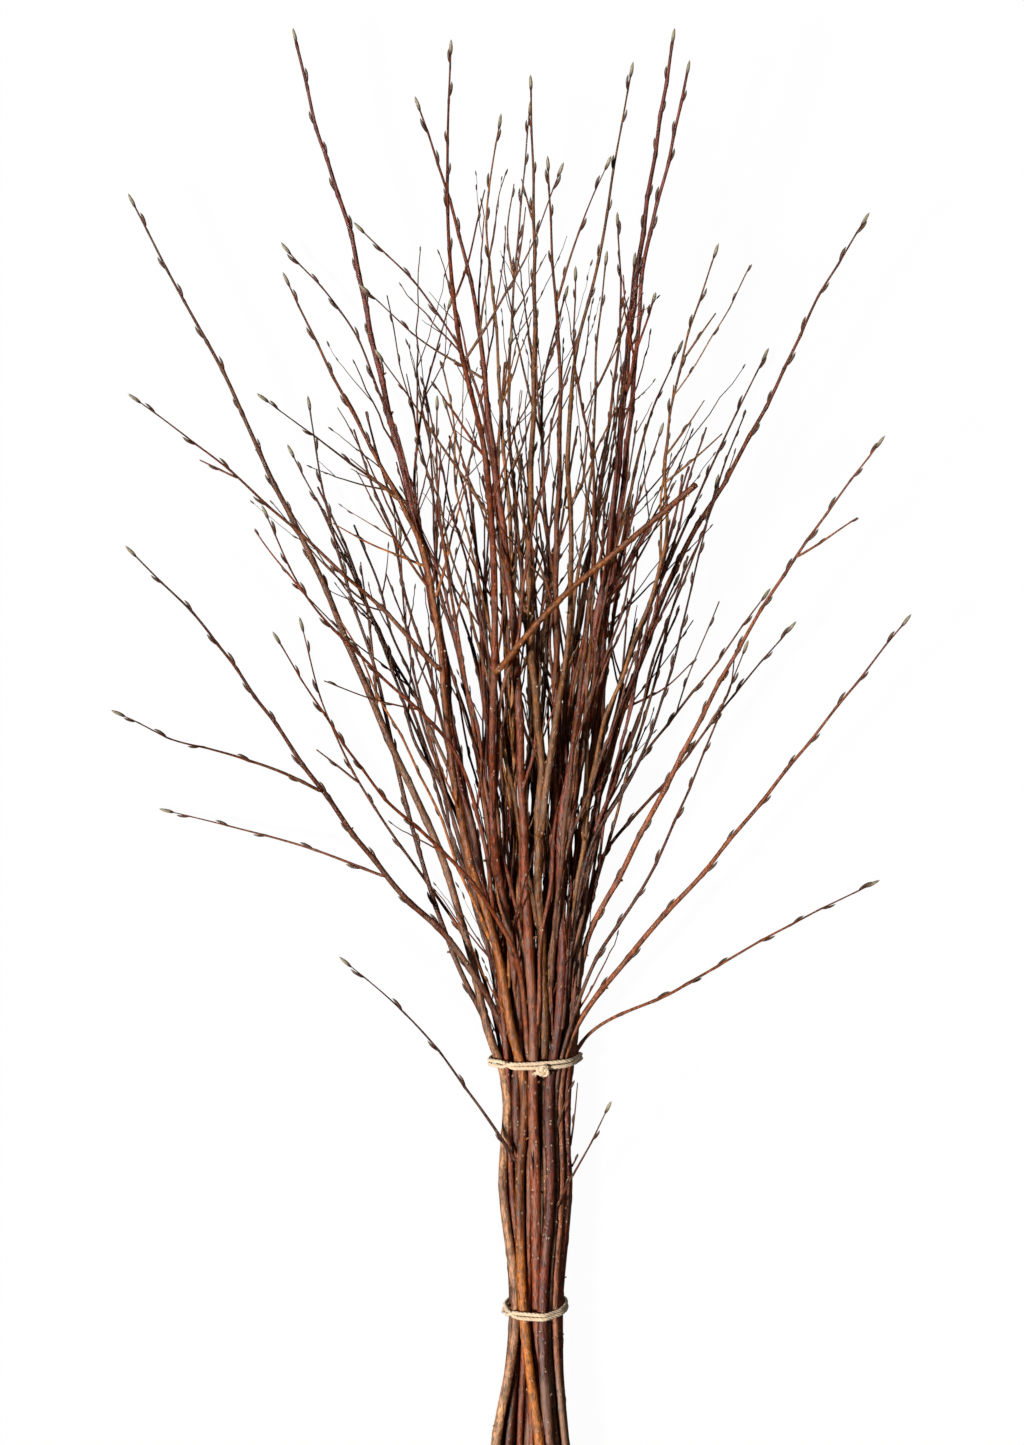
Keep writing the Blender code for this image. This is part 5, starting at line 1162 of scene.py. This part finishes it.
def make_tie(name, stems, row, tilt, lean, centre, knot_column, material, rng):
    """A tie as it is wound: two turns of one cord that cross at the left, its knot and a frayed end.

    A turn shifts from one side of the band to the other by 3 s^2 - 2 s^3 where the two cross.
    """
    half = TWINE / 2
    points, steps, outward = tie_loop(stems, row, tilt, lean, centre, 240, TIE_SLACK * 0.5 + half)
    across = np.cross(steps, outward)
    start = knot_spot(points, outward, row, centre, knot_column)
    end, tenth = int(points[:, 0].argmin()), len(points) // 10
    ahead = points[(end + tenth) % len(points), 2] > points[end - tenth, 2]
    left = (((end - start) % len(points)) / len(points) + (0.11 if ahead else -0.11)) % 1
    loop, outs, side = (np.roll(v, -start, axis=0) for v in (points, outward, across))
    loop, outs, side = (np.concatenate([v, v, v[:1]]) for v in (loop, outs, side))
    turn = np.arange(len(loop)) / len(points)
    shift = [np.clip((turn - left - k) / 0.07 + 0.5, 0, 1) for k in (0, 1)]
    shift = [3 * s ** 2 - 2 * s ** 3 for s in shift]
    order = -1 + 2 * shift[0] - 2 * shift[1] + 0.10 * np.sin(15 * turn)
    lift = 1.2 * np.exp(-((turn - 1 - left) / 0.03) ** 2) + 0.10 * np.cos(11 * turn)
    path = loop + half * (1.08 * order[:, None] * side + lift[:, None] * outs)
    surface = Surface()
    ropes = [tie_rope(path, outs, side, 0.92 * half, 0.0085, surface, 0.45)]
    down = side[0] if side[0][1] < 0 else -side[0]
    one = normalised(np.cross(outs[0], down))
    one = one if one[0] < 0 else -one
    shown = knot_column is not None
    seat = points[start] + (0.0028 if shown else 0.0012) * outs[0] + 0.0028 * down
    knot = knot_rope(seat, one, down, outs[0], 0.0030 if shown else 0.0022)
    ropes.append(tie_rope(knot, *rope_frame(knot, outs[0]), half * 1.02, 0.0070, surface, 0.6))
    s = np.linspace(0, 1, 16)[:, None]
    tail = seat + one * (0.0028 + 0.0026 * s) + down * (0.0004 + 0.0010 * s)
    tail = tail + outs[0] * 0.0006 * np.sin(math.pi * s)
    ropes.append(tie_rope(tail, *rope_frame(tail, outs[0]), 0.8 * half, 0.0070, surface, 0.7))
    spread = normalised(one + 0.5 * down + 0.4 * rng.normal(0, 1, (40, 3)))
    s = np.linspace(0, 1, 5)[None, :, None]
    root = tail[-1] + half * 0.4 * rng.normal(0, 1, (40, 1, 3))
    hairs = root + rng.uniform(0.0008, 0.0022, (40, 1, 1)) * s * spread[:, None]
    add_tubes(surface, hairs, 0.00014 * (1 - 0.5 * s[..., 0]) + np.zeros((40, 1)), 3,
              {"tone": 0.9 + np.zeros((40, 5))})
    add_fibres(surface, rng, ropes[0], 0.00005, 120, 0.0034)
    add_fibres(surface, rng, ropes[1], 0.00005, 30, 0.0026)
    return surface.object(name, [material])


def srgb(r, g, b):
    """Linear colour of an sRGB one given from 0 to 255."""
    return tuple((v / 255 / 12.92) if v / 255 <= 0.04045 else ((v / 255 + 0.055) / 1.055) ** 2.4 for v in (r, g, b))


BARKS = {
    "wine": (srgb(132, 72, 60), srgb(144, 74, 60), srgb(142, 74, 56), srgb(106, 64, 56)),
    "red": (srgb(122, 64, 36), srgb(142, 74, 42), srgb(148, 77, 43), srgb(140, 80, 50)),
    "orange": (srgb(128, 76, 38), srgb(150, 94, 48), srgb(166, 106, 46), srgb(172, 110, 46)),
    "olive": (srgb(116, 80, 38), srgb(142, 100, 52), srgb(146, 104, 60), srgb(138, 98, 62)),
    "grey": (srgb(108, 68, 42), srgb(128, 92, 66), srgb(140, 104, 80), srgb(176, 144, 116)),
    "brown": (srgb(110, 62, 34), srgb(134, 78, 42), srgb(136, 82, 52), srgb(124, 84, 60)),
    "dark": (srgb(88, 52, 30), srgb(96, 56, 34), srgb(92, 60, 44), srgb(90, 64, 50)),
}


class Nodes:
    """A short way to build a node tree."""

    def __init__(self, name):
        self.material = bpy.data.materials.new(name)
        self.material.use_nodes = True
        self.tree = self.material.node_tree
        self.shader = self.tree.nodes["Principled BSDF"]

    def add(self, kind, **settings):
        node = self.tree.nodes.new(kind)
        for key, value in settings.items():
            if key in node.inputs:
                node.inputs[key].default_value = value
            else:
                setattr(node, key, value)
        return node

    def link(self, source, target):
        self.tree.links.new(source, target)

    def attribute(self, name):
        return self.add("ShaderNodeAttribute", attribute_name=name).outputs["Fac"]

    def math(self, operation, a, b=None, clamp=False):
        node = self.add("ShaderNodeMath", operation=operation, use_clamp=clamp)
        for index, value in enumerate((a, b)):
            if value is None:
                continue
            if hasattr(value, "links"):
                self.link(value, node.inputs[index])
            else:
                node.inputs[index].default_value = value
        return node.outputs[0]

    def mix(self, factor, a, b, blend="MIX"):
        node = self.add("ShaderNodeMix", data_type="RGBA", blend_type=blend)
        for socket, value in ((node.inputs[0], factor), (node.inputs[6], a), (node.inputs[7], b)):
            if hasattr(value, "links"):
                self.link(value, socket)
            elif isinstance(value, tuple):
                socket.default_value = (*value, 1.0)
            else:
                socket.default_value = value
        return node.outputs[2]

    def range(self, value, low, high, to_low, to_high):
        node = self.add("ShaderNodeMapRange")
        self.link(value, node.inputs[0])
        for index, number in enumerate((low, high, to_low, to_high)):
            node.inputs[index + 1].default_value = number
        return node.outputs[0]

    def noise(self, scale, stretch, detail=3.0, uv=False):
        place = self.add("ShaderNodeTexCoord").outputs["UV" if uv else "Object"]
        mapping = self.add("ShaderNodeMapping")
        mapping.inputs["Scale"].default_value = stretch
        self.link(place, mapping.inputs[0])
        node = self.add("ShaderNodeTexNoise", Scale=scale, Detail=detail, Roughness=0.6)
        self.link(mapping.outputs[0], node.inputs["Vector"])
        return node.outputs["Fac"]

    def bump(self, height, strength, distance):
        node = self.add("ShaderNodeBump", Strength=strength, Distance=distance)
        self.link(height, node.inputs["Height"])
        self.link(node.outputs[0], self.shader.inputs["Normal"])


# How far the grey of weather covers each bark's patches.
WEATHERED = {"wine": 0.35, "red": 0.3, "orange": 0.1, "olive": 0.3, "grey": 0.6, "brown": 0.45, "dark": 0.3}


def bark_material(name, colours):
    """Bark that goes from the tip's colour to the butt's, mottled, streaked and dotted with lenticels."""
    n = Nodes("bark_" + name)
    age = n.attribute("age")
    ramp = n.add("ShaderNodeValToRGB")
    patches = n.noise(17.0, (1, 1, 1), 3.0)
    wobble = n.math("MULTIPLY", n.math("SUBTRACT", patches, 0.5), 1.5)
    n.link(n.math("ADD", age, wobble), ramp.inputs[0])
    stops = ramp.color_ramp.elements
    stops[0].position, stops[1].position = 0.04, 0.92
    stops[0].color, stops[1].color = (*colours[0], 1), (*colours[3], 1)
    for place, colour in ((0.30, colours[1]), (0.60, colours[2])):
        stop = stops.new(place)
        stop.color = (*colour, 1)
    # Tone lightens or darkens the bark at random; on shoots low in the bundle it is also cut down as painted shade.
    tone = n.mix(n.attribute("tone"), (0.42, 0.27, 0.17), (1.42, 1.12, 0.86))
    colour = n.mix(1.0, ramp.outputs[0], tone, "MULTIPLY")
    mottle = n.noise(420.0, (1, 0.30, 1), 5.0)
    colour = n.mix(1.0, colour, n.range(mottle, 0.36, 0.64, 0.42, 1.40), "MULTIPLY")
    grain = n.noise(900.0, (1, 0.45, 1), 3.0)
    colour = n.mix(1.0, colour, n.range(grain, 0.36, 0.64, 0.62, 1.30), "MULTIPLY")
    streak = n.noise(9.0, (1.8, 15.0, 1), 4.0, uv=True)
    colour = n.mix(n.range(streak, 0.50, 0.66, 0.0, 0.35 if name == "orange" else 0.75), colour, srgb(58, 34, 24))
    grey = n.noise(40.0, (1, 0.35, 1), 3.0)
    worn = n.math("MULTIPLY", n.range(grey, 0.52, 0.62, 0.0, WEATHERED[name]), n.range(age, 0.25, 0.7, 0.0, 1.0))
    colour = n.mix(worn, colour, srgb(172, 136, 108))
    dots = n.add("ShaderNodeTexVoronoi", Scale=1.0)
    mapping = n.add("ShaderNodeMapping")
    mapping.inputs["Scale"].default_value = (5.0, 230.0, 1.0)
    n.link(n.add("ShaderNodeTexCoord").outputs["UV"], mapping.inputs[0])
    n.link(mapping.outputs[0], dots.inputs["Vector"])
    spot = n.range(dots.outputs["Distance"], 0.12, 0.22, 1.0, 0.0)
    some = n.add("ShaderNodeSeparateColor")
    n.link(dots.outputs["Color"], some.inputs[0])
    spot = n.math("MULTIPLY", spot, n.range(some.outputs[0], 0.40, 0.62, 0.0, 1.0))
    spot = n.math("MULTIPLY", spot, n.range(age, 0.22, 0.5, 0.0, 0.85))
    colour = n.mix(spot, colour, srgb(206, 168, 136))
    colour = n.mix(n.math("MULTIPLY", n.attribute("scar"), 0.6), colour, srgb(62, 38, 28))
    bud = n.attribute("bud")
    scale = n.mix(n.range(bud, 0.26, 0.62, 0.0, 1.0), srgb(74, 44, 34), srgb(158, 146, 118))
    scale = n.mix(n.range(n.noise(620.0, (1, 0.5, 1), 2.0), 0.40, 0.7, 0.0, 0.40), scale, srgb(66, 48, 36))
    colour = n.mix(n.range(bud, 0.02, 0.14, 0.0, 1.0), colour, scale)
    cut = n.attribute("cut")
    wood = n.mix(n.range(cut, 0.4, 1.0, 0.0, 1.0), srgb(150, 112, 78), srgb(214, 190, 150))
    colour = n.mix(n.range(cut, 0.05, 0.5, 0.0, 1.0), colour, wood)
    n.link(colour, n.shader.inputs["Base Color"])
    n.link(n.range(grain, 0.35, 0.65, 0.22, 0.50), n.shader.inputs["Roughness"])
    n.shader.inputs["Specular IOR Level"].default_value = 0.32
    height = n.math("ADD", n.math("ADD", mottle, n.math("MULTIPLY", grain, 0.5)), n.math("MULTIPLY", streak, -0.6))
    height = n.math("ADD", height, n.math("MULTIPLY", spot, 0.6))
    n.bump(height, 1.0, 0.0007)
    return n.material


def twine_material():
    """Pale jute: fine fibres along each ply, darker where the plies meet."""
    n = Nodes("twine")
    fibre = n.noise(30.0, (3.0, 60.0, 1), 4.0, uv=True)
    patch = n.noise(300.0, (1, 1, 1), 3.0)
    colour = n.mix(n.range(fibre, 0.3, 0.7, 0.0, 1.0), srgb(214, 180, 140), srgb(252, 232, 200))
    colour = n.mix(n.range(patch, 0.45, 0.75, 0.0, 0.45), colour, srgb(190, 150, 110))
    colour = n.mix(1.0, colour, n.range(n.attribute("tone"), 0.0, 1.0, 0.90, 1.12), "MULTIPLY")
    n.link(colour, n.shader.inputs["Base Color"])
    n.shader.inputs["Roughness"].default_value = 0.92
    n.shader.inputs["Sheen Weight"].default_value = 0.25
    n.bump(fibre, 0.5, 0.0004)
    return n.material


def make_twig_piece(chain, twig, shoots, barks, box, rng):
    """One twig: its tube, cut end, side shoots and buds, as one mesh that replaces the node."""
    surface = Surface()
    path, radius = twig.path.copy(), twig.radius
    blunt = chain.name == BLUNT
    last = len(path) if blunt else int(np.searchsorted(twig.along, twig.length - 0.006))
    tones = twig.tone + np.zeros((1, last))
    if chain.name in LOCAL_TONES:
        tones = np.interp(LENS_ROW - path[None, :last, 1] / PIXEL, *LOCAL_TONES[chain.name])
    shade = {"age": twig.age[None, :last], "tone": tones,
             "scar": 0.8 * twig.knot[None, :last] ** 2}
    if chain.parent is None:
        add_cut_end(surface, path[0], twig.tangent[0], twig.side[0], twig.up[0], radius[0], 10, twig.tone)
        path[0] += 0.0005 * twig.tangent[0]
    ends = (0.0 if chain.parent is None else 0.3, 0.5)
    add_tubes(surface, path[None, :last], radius[None, :last], 10, shade, 0.03, ends, twig.along[None, :last])
    add_stubs(surface, twig, rng)
    neck = path[twig.index, 1] < from_photo(0, UPPER_TIE_ROW - 60, 0)[1]
    slim = (twig.radius[twig.index] < 0.0026) & (twig.along[twig.index] < twig.length - 0.012)
    chosen = twig.index[slim & ~(neck & (chain.parent is None))]
    flip = np.where(np.arange(len(chosen)) % 2 == 0, 1.0, -1.0)[:, None]
    out = normalised(flip * twig.side[chosen] + rng.uniform(-0.5, 0.7, (len(chosen), 1)) * twig.up[chosen])
    way = twig.tangent[chosen]
    out = normalised(out - (out * way).sum(1)[:, None] * way)
    size = rng.uniform(0.0078, 0.0102, len(chosen)) * (1 - 0.35 * crown_fill(path[chosen]))
    add_buds(surface, path[chosen] + 0.6 * radius[chosen][:, None] * out, way, out, size, 0.23 * size,
             np.full(len(chosen), twig.tone), 0.30)
    if not blunt:
        end = path[-1] - 0.0100 * twig.tangent[-1]
        add_buds(surface, end[None], twig.tangent[-1:], twig.side[-1:], np.array([0.0100]), np.array([0.0030]),
                 np.array([twig.tone]), 0.0, 1.0)
    for shoot in shoots:
        grown = Twig(shoot, rng, twig, 0.0045)
        # Shoots that fork less than 30 mm above the table, low in the bundle under the others, get their tone cut to
        # 0.4: painted shade.
        tone = float(np.clip(twig.tone + rng.uniform(-0.3, 0.3), 0, 1)) * (0.4 if grown.path[0, 2] < 0.03 else 1.0)
        fields = {"age": 0.75 * (1 - grown.along[None] / grown.length), "tone": np.full((1, len(grown.path)), tone),
                  "scar": 0.6 * grown.knot[None] ** 2}
        add_tubes(surface, grown.path[None], grown.radius[None], 6, fields, along=grown.along[None])
        k = grown.index[grown.radius[grown.index] < 0.0015]
        flip = np.where(np.arange(len(k)) % 2 == 0, 1.0, -1.0)[:, None]
        way = grown.tangent[k]
        out = normalised(flip * grown.side[k] + 0.3 * grown.up[k])
        out = normalised(out - (out * way).sum(1)[:, None] * way)
        size = rng.uniform(0.0050, 0.0072, len(k))
        add_buds(surface, grown.path[k] + 0.5 * grown.radius[k][:, None] * out, way, out, size, 0.28 * size,
                 np.full(len(k), tone))
        batch = side_shoots(grown, rng, 0.22)
        if batch is not None:
            add_shoots(surface, rng, batch, box, tone, deeper=False)
    for batch in (side_shoots(twig, rng, 0.30), neck_shoots(twig, rng) if chain.parent is None else None):
        if batch is not None:
            add_shoots(surface, rng, batch, box, twig.tone)
    piece = surface.object(chain.name.replace("twig_", "bark_"), [barks[chain.colour]])
    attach(piece, "root")
    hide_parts(chain.name)
    return piece


def traced_twiglets(stem):
    """Chains of the fine twiglets read off the photo that grow from this stem."""
    found = []
    for number, (parent, thick, pixels) in enumerate(TWIGLETS):
        if "twig_" + parent != stem.name:
            continue
        fork = stem.at(stem.nearest(np.array(from_photo(*pixels[0], 0.03))))[0]
        rise = 1000 * fork[2] + 5
        found.append(branch_chain(f"{parent}_twiglet_{number}", stem, pixels, thick, 1.2, rise, stem.colour, True))
    return found


def make_stage(origin):
    """White table, soft light from above and behind the camera, and the camera straight above."""
    bpy.ops.mesh.primitive_plane_add(size=12.0, location=(0, 0, -0.0004))
    table = bpy.context.object
    table.name = "table"
    table.visible_diffuse = False
    table.visible_glossy = False
    n = Nodes("table_white")
    n.shader.inputs["Base Color"].default_value = (0.02, 0.02, 0.02, 1)
    n.shader.inputs["Roughness"].default_value = 0.9
    n.shader.inputs["Specular IOR Level"].default_value = 0.0
    n.shader.inputs["Emission Color"].default_value = (1, 1, 1, 1)
    n.shader.inputs["Emission Strength"].default_value = TABLE_GLOW
    table.data.materials.append(n.material)
    table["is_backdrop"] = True
    world = bpy.data.worlds.new("studio")
    bpy.context.scene.world = world
    world.use_nodes = True
    nodes, links = world.node_tree.nodes, world.node_tree.links
    seen, strength = nodes.new("ShaderNodeLightPath"), nodes.new("ShaderNodeMapRange")
    strength.inputs["To Min"].default_value = WORLD_LIGHT
    links.new(seen.outputs["Is Camera Ray"], strength.inputs["Value"])
    links.new(strength.outputs[0], nodes["Background"].inputs["Strength"])
    nodes["Background"].inputs["Color"].default_value = (1, 1, 1, 1)
    for name, turn, power, spread in LAMPS:
        lamp = bpy.data.lights.new(name, "SUN")
        lamp.energy = power
        lamp.angle = math.radians(spread)
        made = bpy.data.objects.new(name, lamp)
        made.rotation_euler = tuple(math.radians(v) for v in turn)
        bpy.context.scene.collection.objects.link(made)
    lens = bpy.data.cameras.new("photo_camera")
    lens.sensor_fit = "VERTICAL"
    lens.sensor_height = 24.0
    tall = PHOTO_HEIGHT * PIXEL
    lens.angle_y = 2 * math.atan(0.5 * tall / (LENS_HEIGHT - PHOTO_PLANE))
    camera = bpy.data.objects.new("photo_camera", lens)
    camera.location = (-origin[0], -origin[1], LENS_HEIGHT - origin[2])
    bpy.context.scene.collection.objects.link(camera)
    bpy.context.scene.camera = camera
    view = bpy.context.scene.view_settings
    view.view_transform = "Standard"


def photo_shift(frame, stems):
    """How far the solids lie from the photo's metres: each cut end's corners average to its chain's start."""
    shifts = []
    for chain in stems:
        node = frame["nodes"][chain.name]
        place = np.empty(len(node.data.vertices) * 3, np.float32)
        node.data.vertices.foreach_get("co", place)
        world = np.array(node.matrix_world)
        corners = np.unique(np.round(place.reshape(-1, 3) @ world[:3, :3].T + world[:3, 3], 6), axis=0)
        cut = corners[np.argsort(corners[:, 1])[:TWIG_SIDES]]
        shifts.append(chain.points[0] - cut.mean(0))
    return np.median(shifts, axis=0)


def settle(piece, origin, low, high):
    """Moves a piece from the photo's metres to the row frame, and keeps it inside the solids' box."""
    place = np.empty(len(piece.data.vertices) * 3, np.float32)
    piece.data.vertices.foreach_get("co", place)
    place = np.clip(place.reshape(-1, 3) - origin, low, high)
    piece.data.vertices.foreach_set("co", place.astype(np.float32).ravel())
    piece.data.update()


def companions(chain, twig, rng, box):
    """Chains of slim shoots that grow beside a stem from the neck into the crown.

    Each leaves the stem by 3 to 9 degrees: base + length (s heading + 0.06 s^2 outward). Only stems
    that stay in the crown have them, and those of the hidden inner stems start and lie lower.
    """
    inner = chain.name.startswith(("twig_back", "twig_core"))
    rows = LENS_ROW - twig.path[:, 1] / PIXEL
    high_up = int(np.abs(rows - COMPANION_ROW).argmin())
    if crown_fill(twig.path[high_up:high_up + 1])[0] < 0.5:
        return []
    found = []
    for number in range(4 if inner else 2):
        wanted = rng.uniform(880, 1046) if inner else rng.uniform(740, 1035)
        k = int(np.abs(rows - wanted).argmin())
        end_row = rng.uniform(400, 740) if inner else rng.uniform(280, 620)
        way, side = twig.tangent[k], twig.side[k]
        raised = twig.path[k, 2] > 0.28 * (box[0][2] + box[1][2])
        flank = rng.choice([-1.0, 1.0]) * side
        flank = unit(flank + (rng.uniform(-1.2, -0.3) if raised else rng.uniform(-0.7, 0.9)) * twig.up[k])
        lean = math.radians(rng.uniform(3, 9))
        heading = math.cos(lean) * way + math.sin(lean) * flank
        length = (wanted - end_row) * PIXEL / max(heading[1], 0.5)
        s = np.linspace(0, 1, max(4, int(length / 0.030)))[:, None]
        points = twig.path[k] + length * (s * heading + 0.06 * s ** 2 * flank)
        points[1:] += rng.normal(0, 0.0016, (len(points) - 1, 3))
        points[:, 2] = np.maximum(points[:, 2], box[0][2] + 0.004)
        thick = rng.uniform(0.0011, 0.0018)
        radii = thick + (rng.uniform(0.0005, 0.0008) - thick) * s[:, 0]
        radii = np.minimum(radii, 0.8 * twig.radius[k])
        found.append(Chain(f"{chain.name}_beside_{number}", points, radii, chain.colour, chain, True))
    return found


def neck_shoots(twig, rng):
    """Fine bright shoots in front of the dark of the neck: base, heading, climb, length, radius."""
    rows = LENS_ROW - twig.path[:, 1] / PIXEL
    columns = LENS_COLUMN + twig.path[:, 0] / PIXEL
    near = np.flatnonzero((rows > 790) & (rows < 1050) & (np.abs(columns - 538) < 44)
                          & (np.abs(twig.tangent[:, 0]) < 0.2))
    many = rng.poisson(2.2)
    if len(near) == 0 or many == 0:
        return None
    k = rng.choice(near, many)
    turn = rng.uniform(0, math.pi, many)[:, None]
    flat = normalised(np.cos(turn) * twig.side[k] + 0.5 * np.sin(turn) * twig.up[k])
    lean = np.radians(rng.uniform(6, 34, many))[:, None]
    heading = np.cos(lean) * twig.tangent[k] + np.sin(lean) * flat
    climb = normalised(twig.tangent[k] - 1.2 * flat + rng.normal(0, 0.2, (many, 3)))
    length = rng.uniform(0.020, 0.075, many)
    thick = rng.uniform(0.0005, 0.0009, many)
    return twig.path[k], heading, climb, length, thick


def add_stubs(surface, twig, rng):
    """Short broken shoots at some joints of the thick part: base + s length heading, pale at the break."""
    k = twig.index[(twig.radius[twig.index] > 0.0017) & (rng.random(len(twig.index)) < 0.6)]
    if len(k) == 0:
        return
    turn = rng.uniform(0, 2 * math.pi, len(k))[:, None]
    flat = normalised(np.cos(turn) * twig.side[k] + np.sin(turn) * twig.up[k])
    heading = normalised(flat + rng.uniform(0.2, 1.4, (len(k), 1)) * twig.tangent[k])
    s = np.array([0.0, 0.55, 0.9, 1.0])[None]
    length = twig.radius[k] + rng.uniform(0.0008, 0.0030, len(k))
    paths = twig.path[k][:, None] + (s * length[:, None])[..., None] * heading[:, None]
    radii = rng.uniform(0.0005, 0.0010, (len(k), 1)) * (1.25 - 0.4 * s)
    add_tubes(surface, paths, radii, 6, {"cut": np.array([[0.0, 0.0, 0.1, 0.9]]), "tone": twig.tone,
                                         "age": twig.age[k][:, None] * np.ones((1, 4))}, ends=(0.3, 0.2))


def main():
    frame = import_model()
    low, high = (np.array(v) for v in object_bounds())
    chains = build_chains()
    stems = [c for c in chains if c.parent is None]
    origin = photo_shift(frame, stems)
    box = (low + origin, high + origin)
    barks = {name: bark_material(name, colours) for name, colours in BARKS.items()}
    twigs, made = {}, []
    for number, chain in enumerate(chains):
        if chain.fused:
            continue
        rng = np.random.default_rng(SEED + 7 * number)
        twig = Twig(chain, rng, twigs.get(chain.parent.name) if chain.parent else None)
        twigs[chain.name] = twig
        shoots = [c for c in chains if c.fused and c.parent is chain]
        shoots += traced_twiglets(chain)
        if chain.parent is None:
            shoots += companions(chain, twig, rng, box)
        made.append(make_twig_piece(chain, twig, shoots, barks, box, rng))
    twine = twine_material()
    rng = np.random.default_rng(SEED)
    for name, row, tilt, lean, centre, column in TIES:
        tie = make_tie(name + "_twine", stems, row, math.radians(tilt), lean, centre, column, twine, rng)
        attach(tie, "root")
        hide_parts(name)
        made.append(tie)
    for piece in made:
        settle(piece, origin, low, high)
    make_stage(origin)


main()
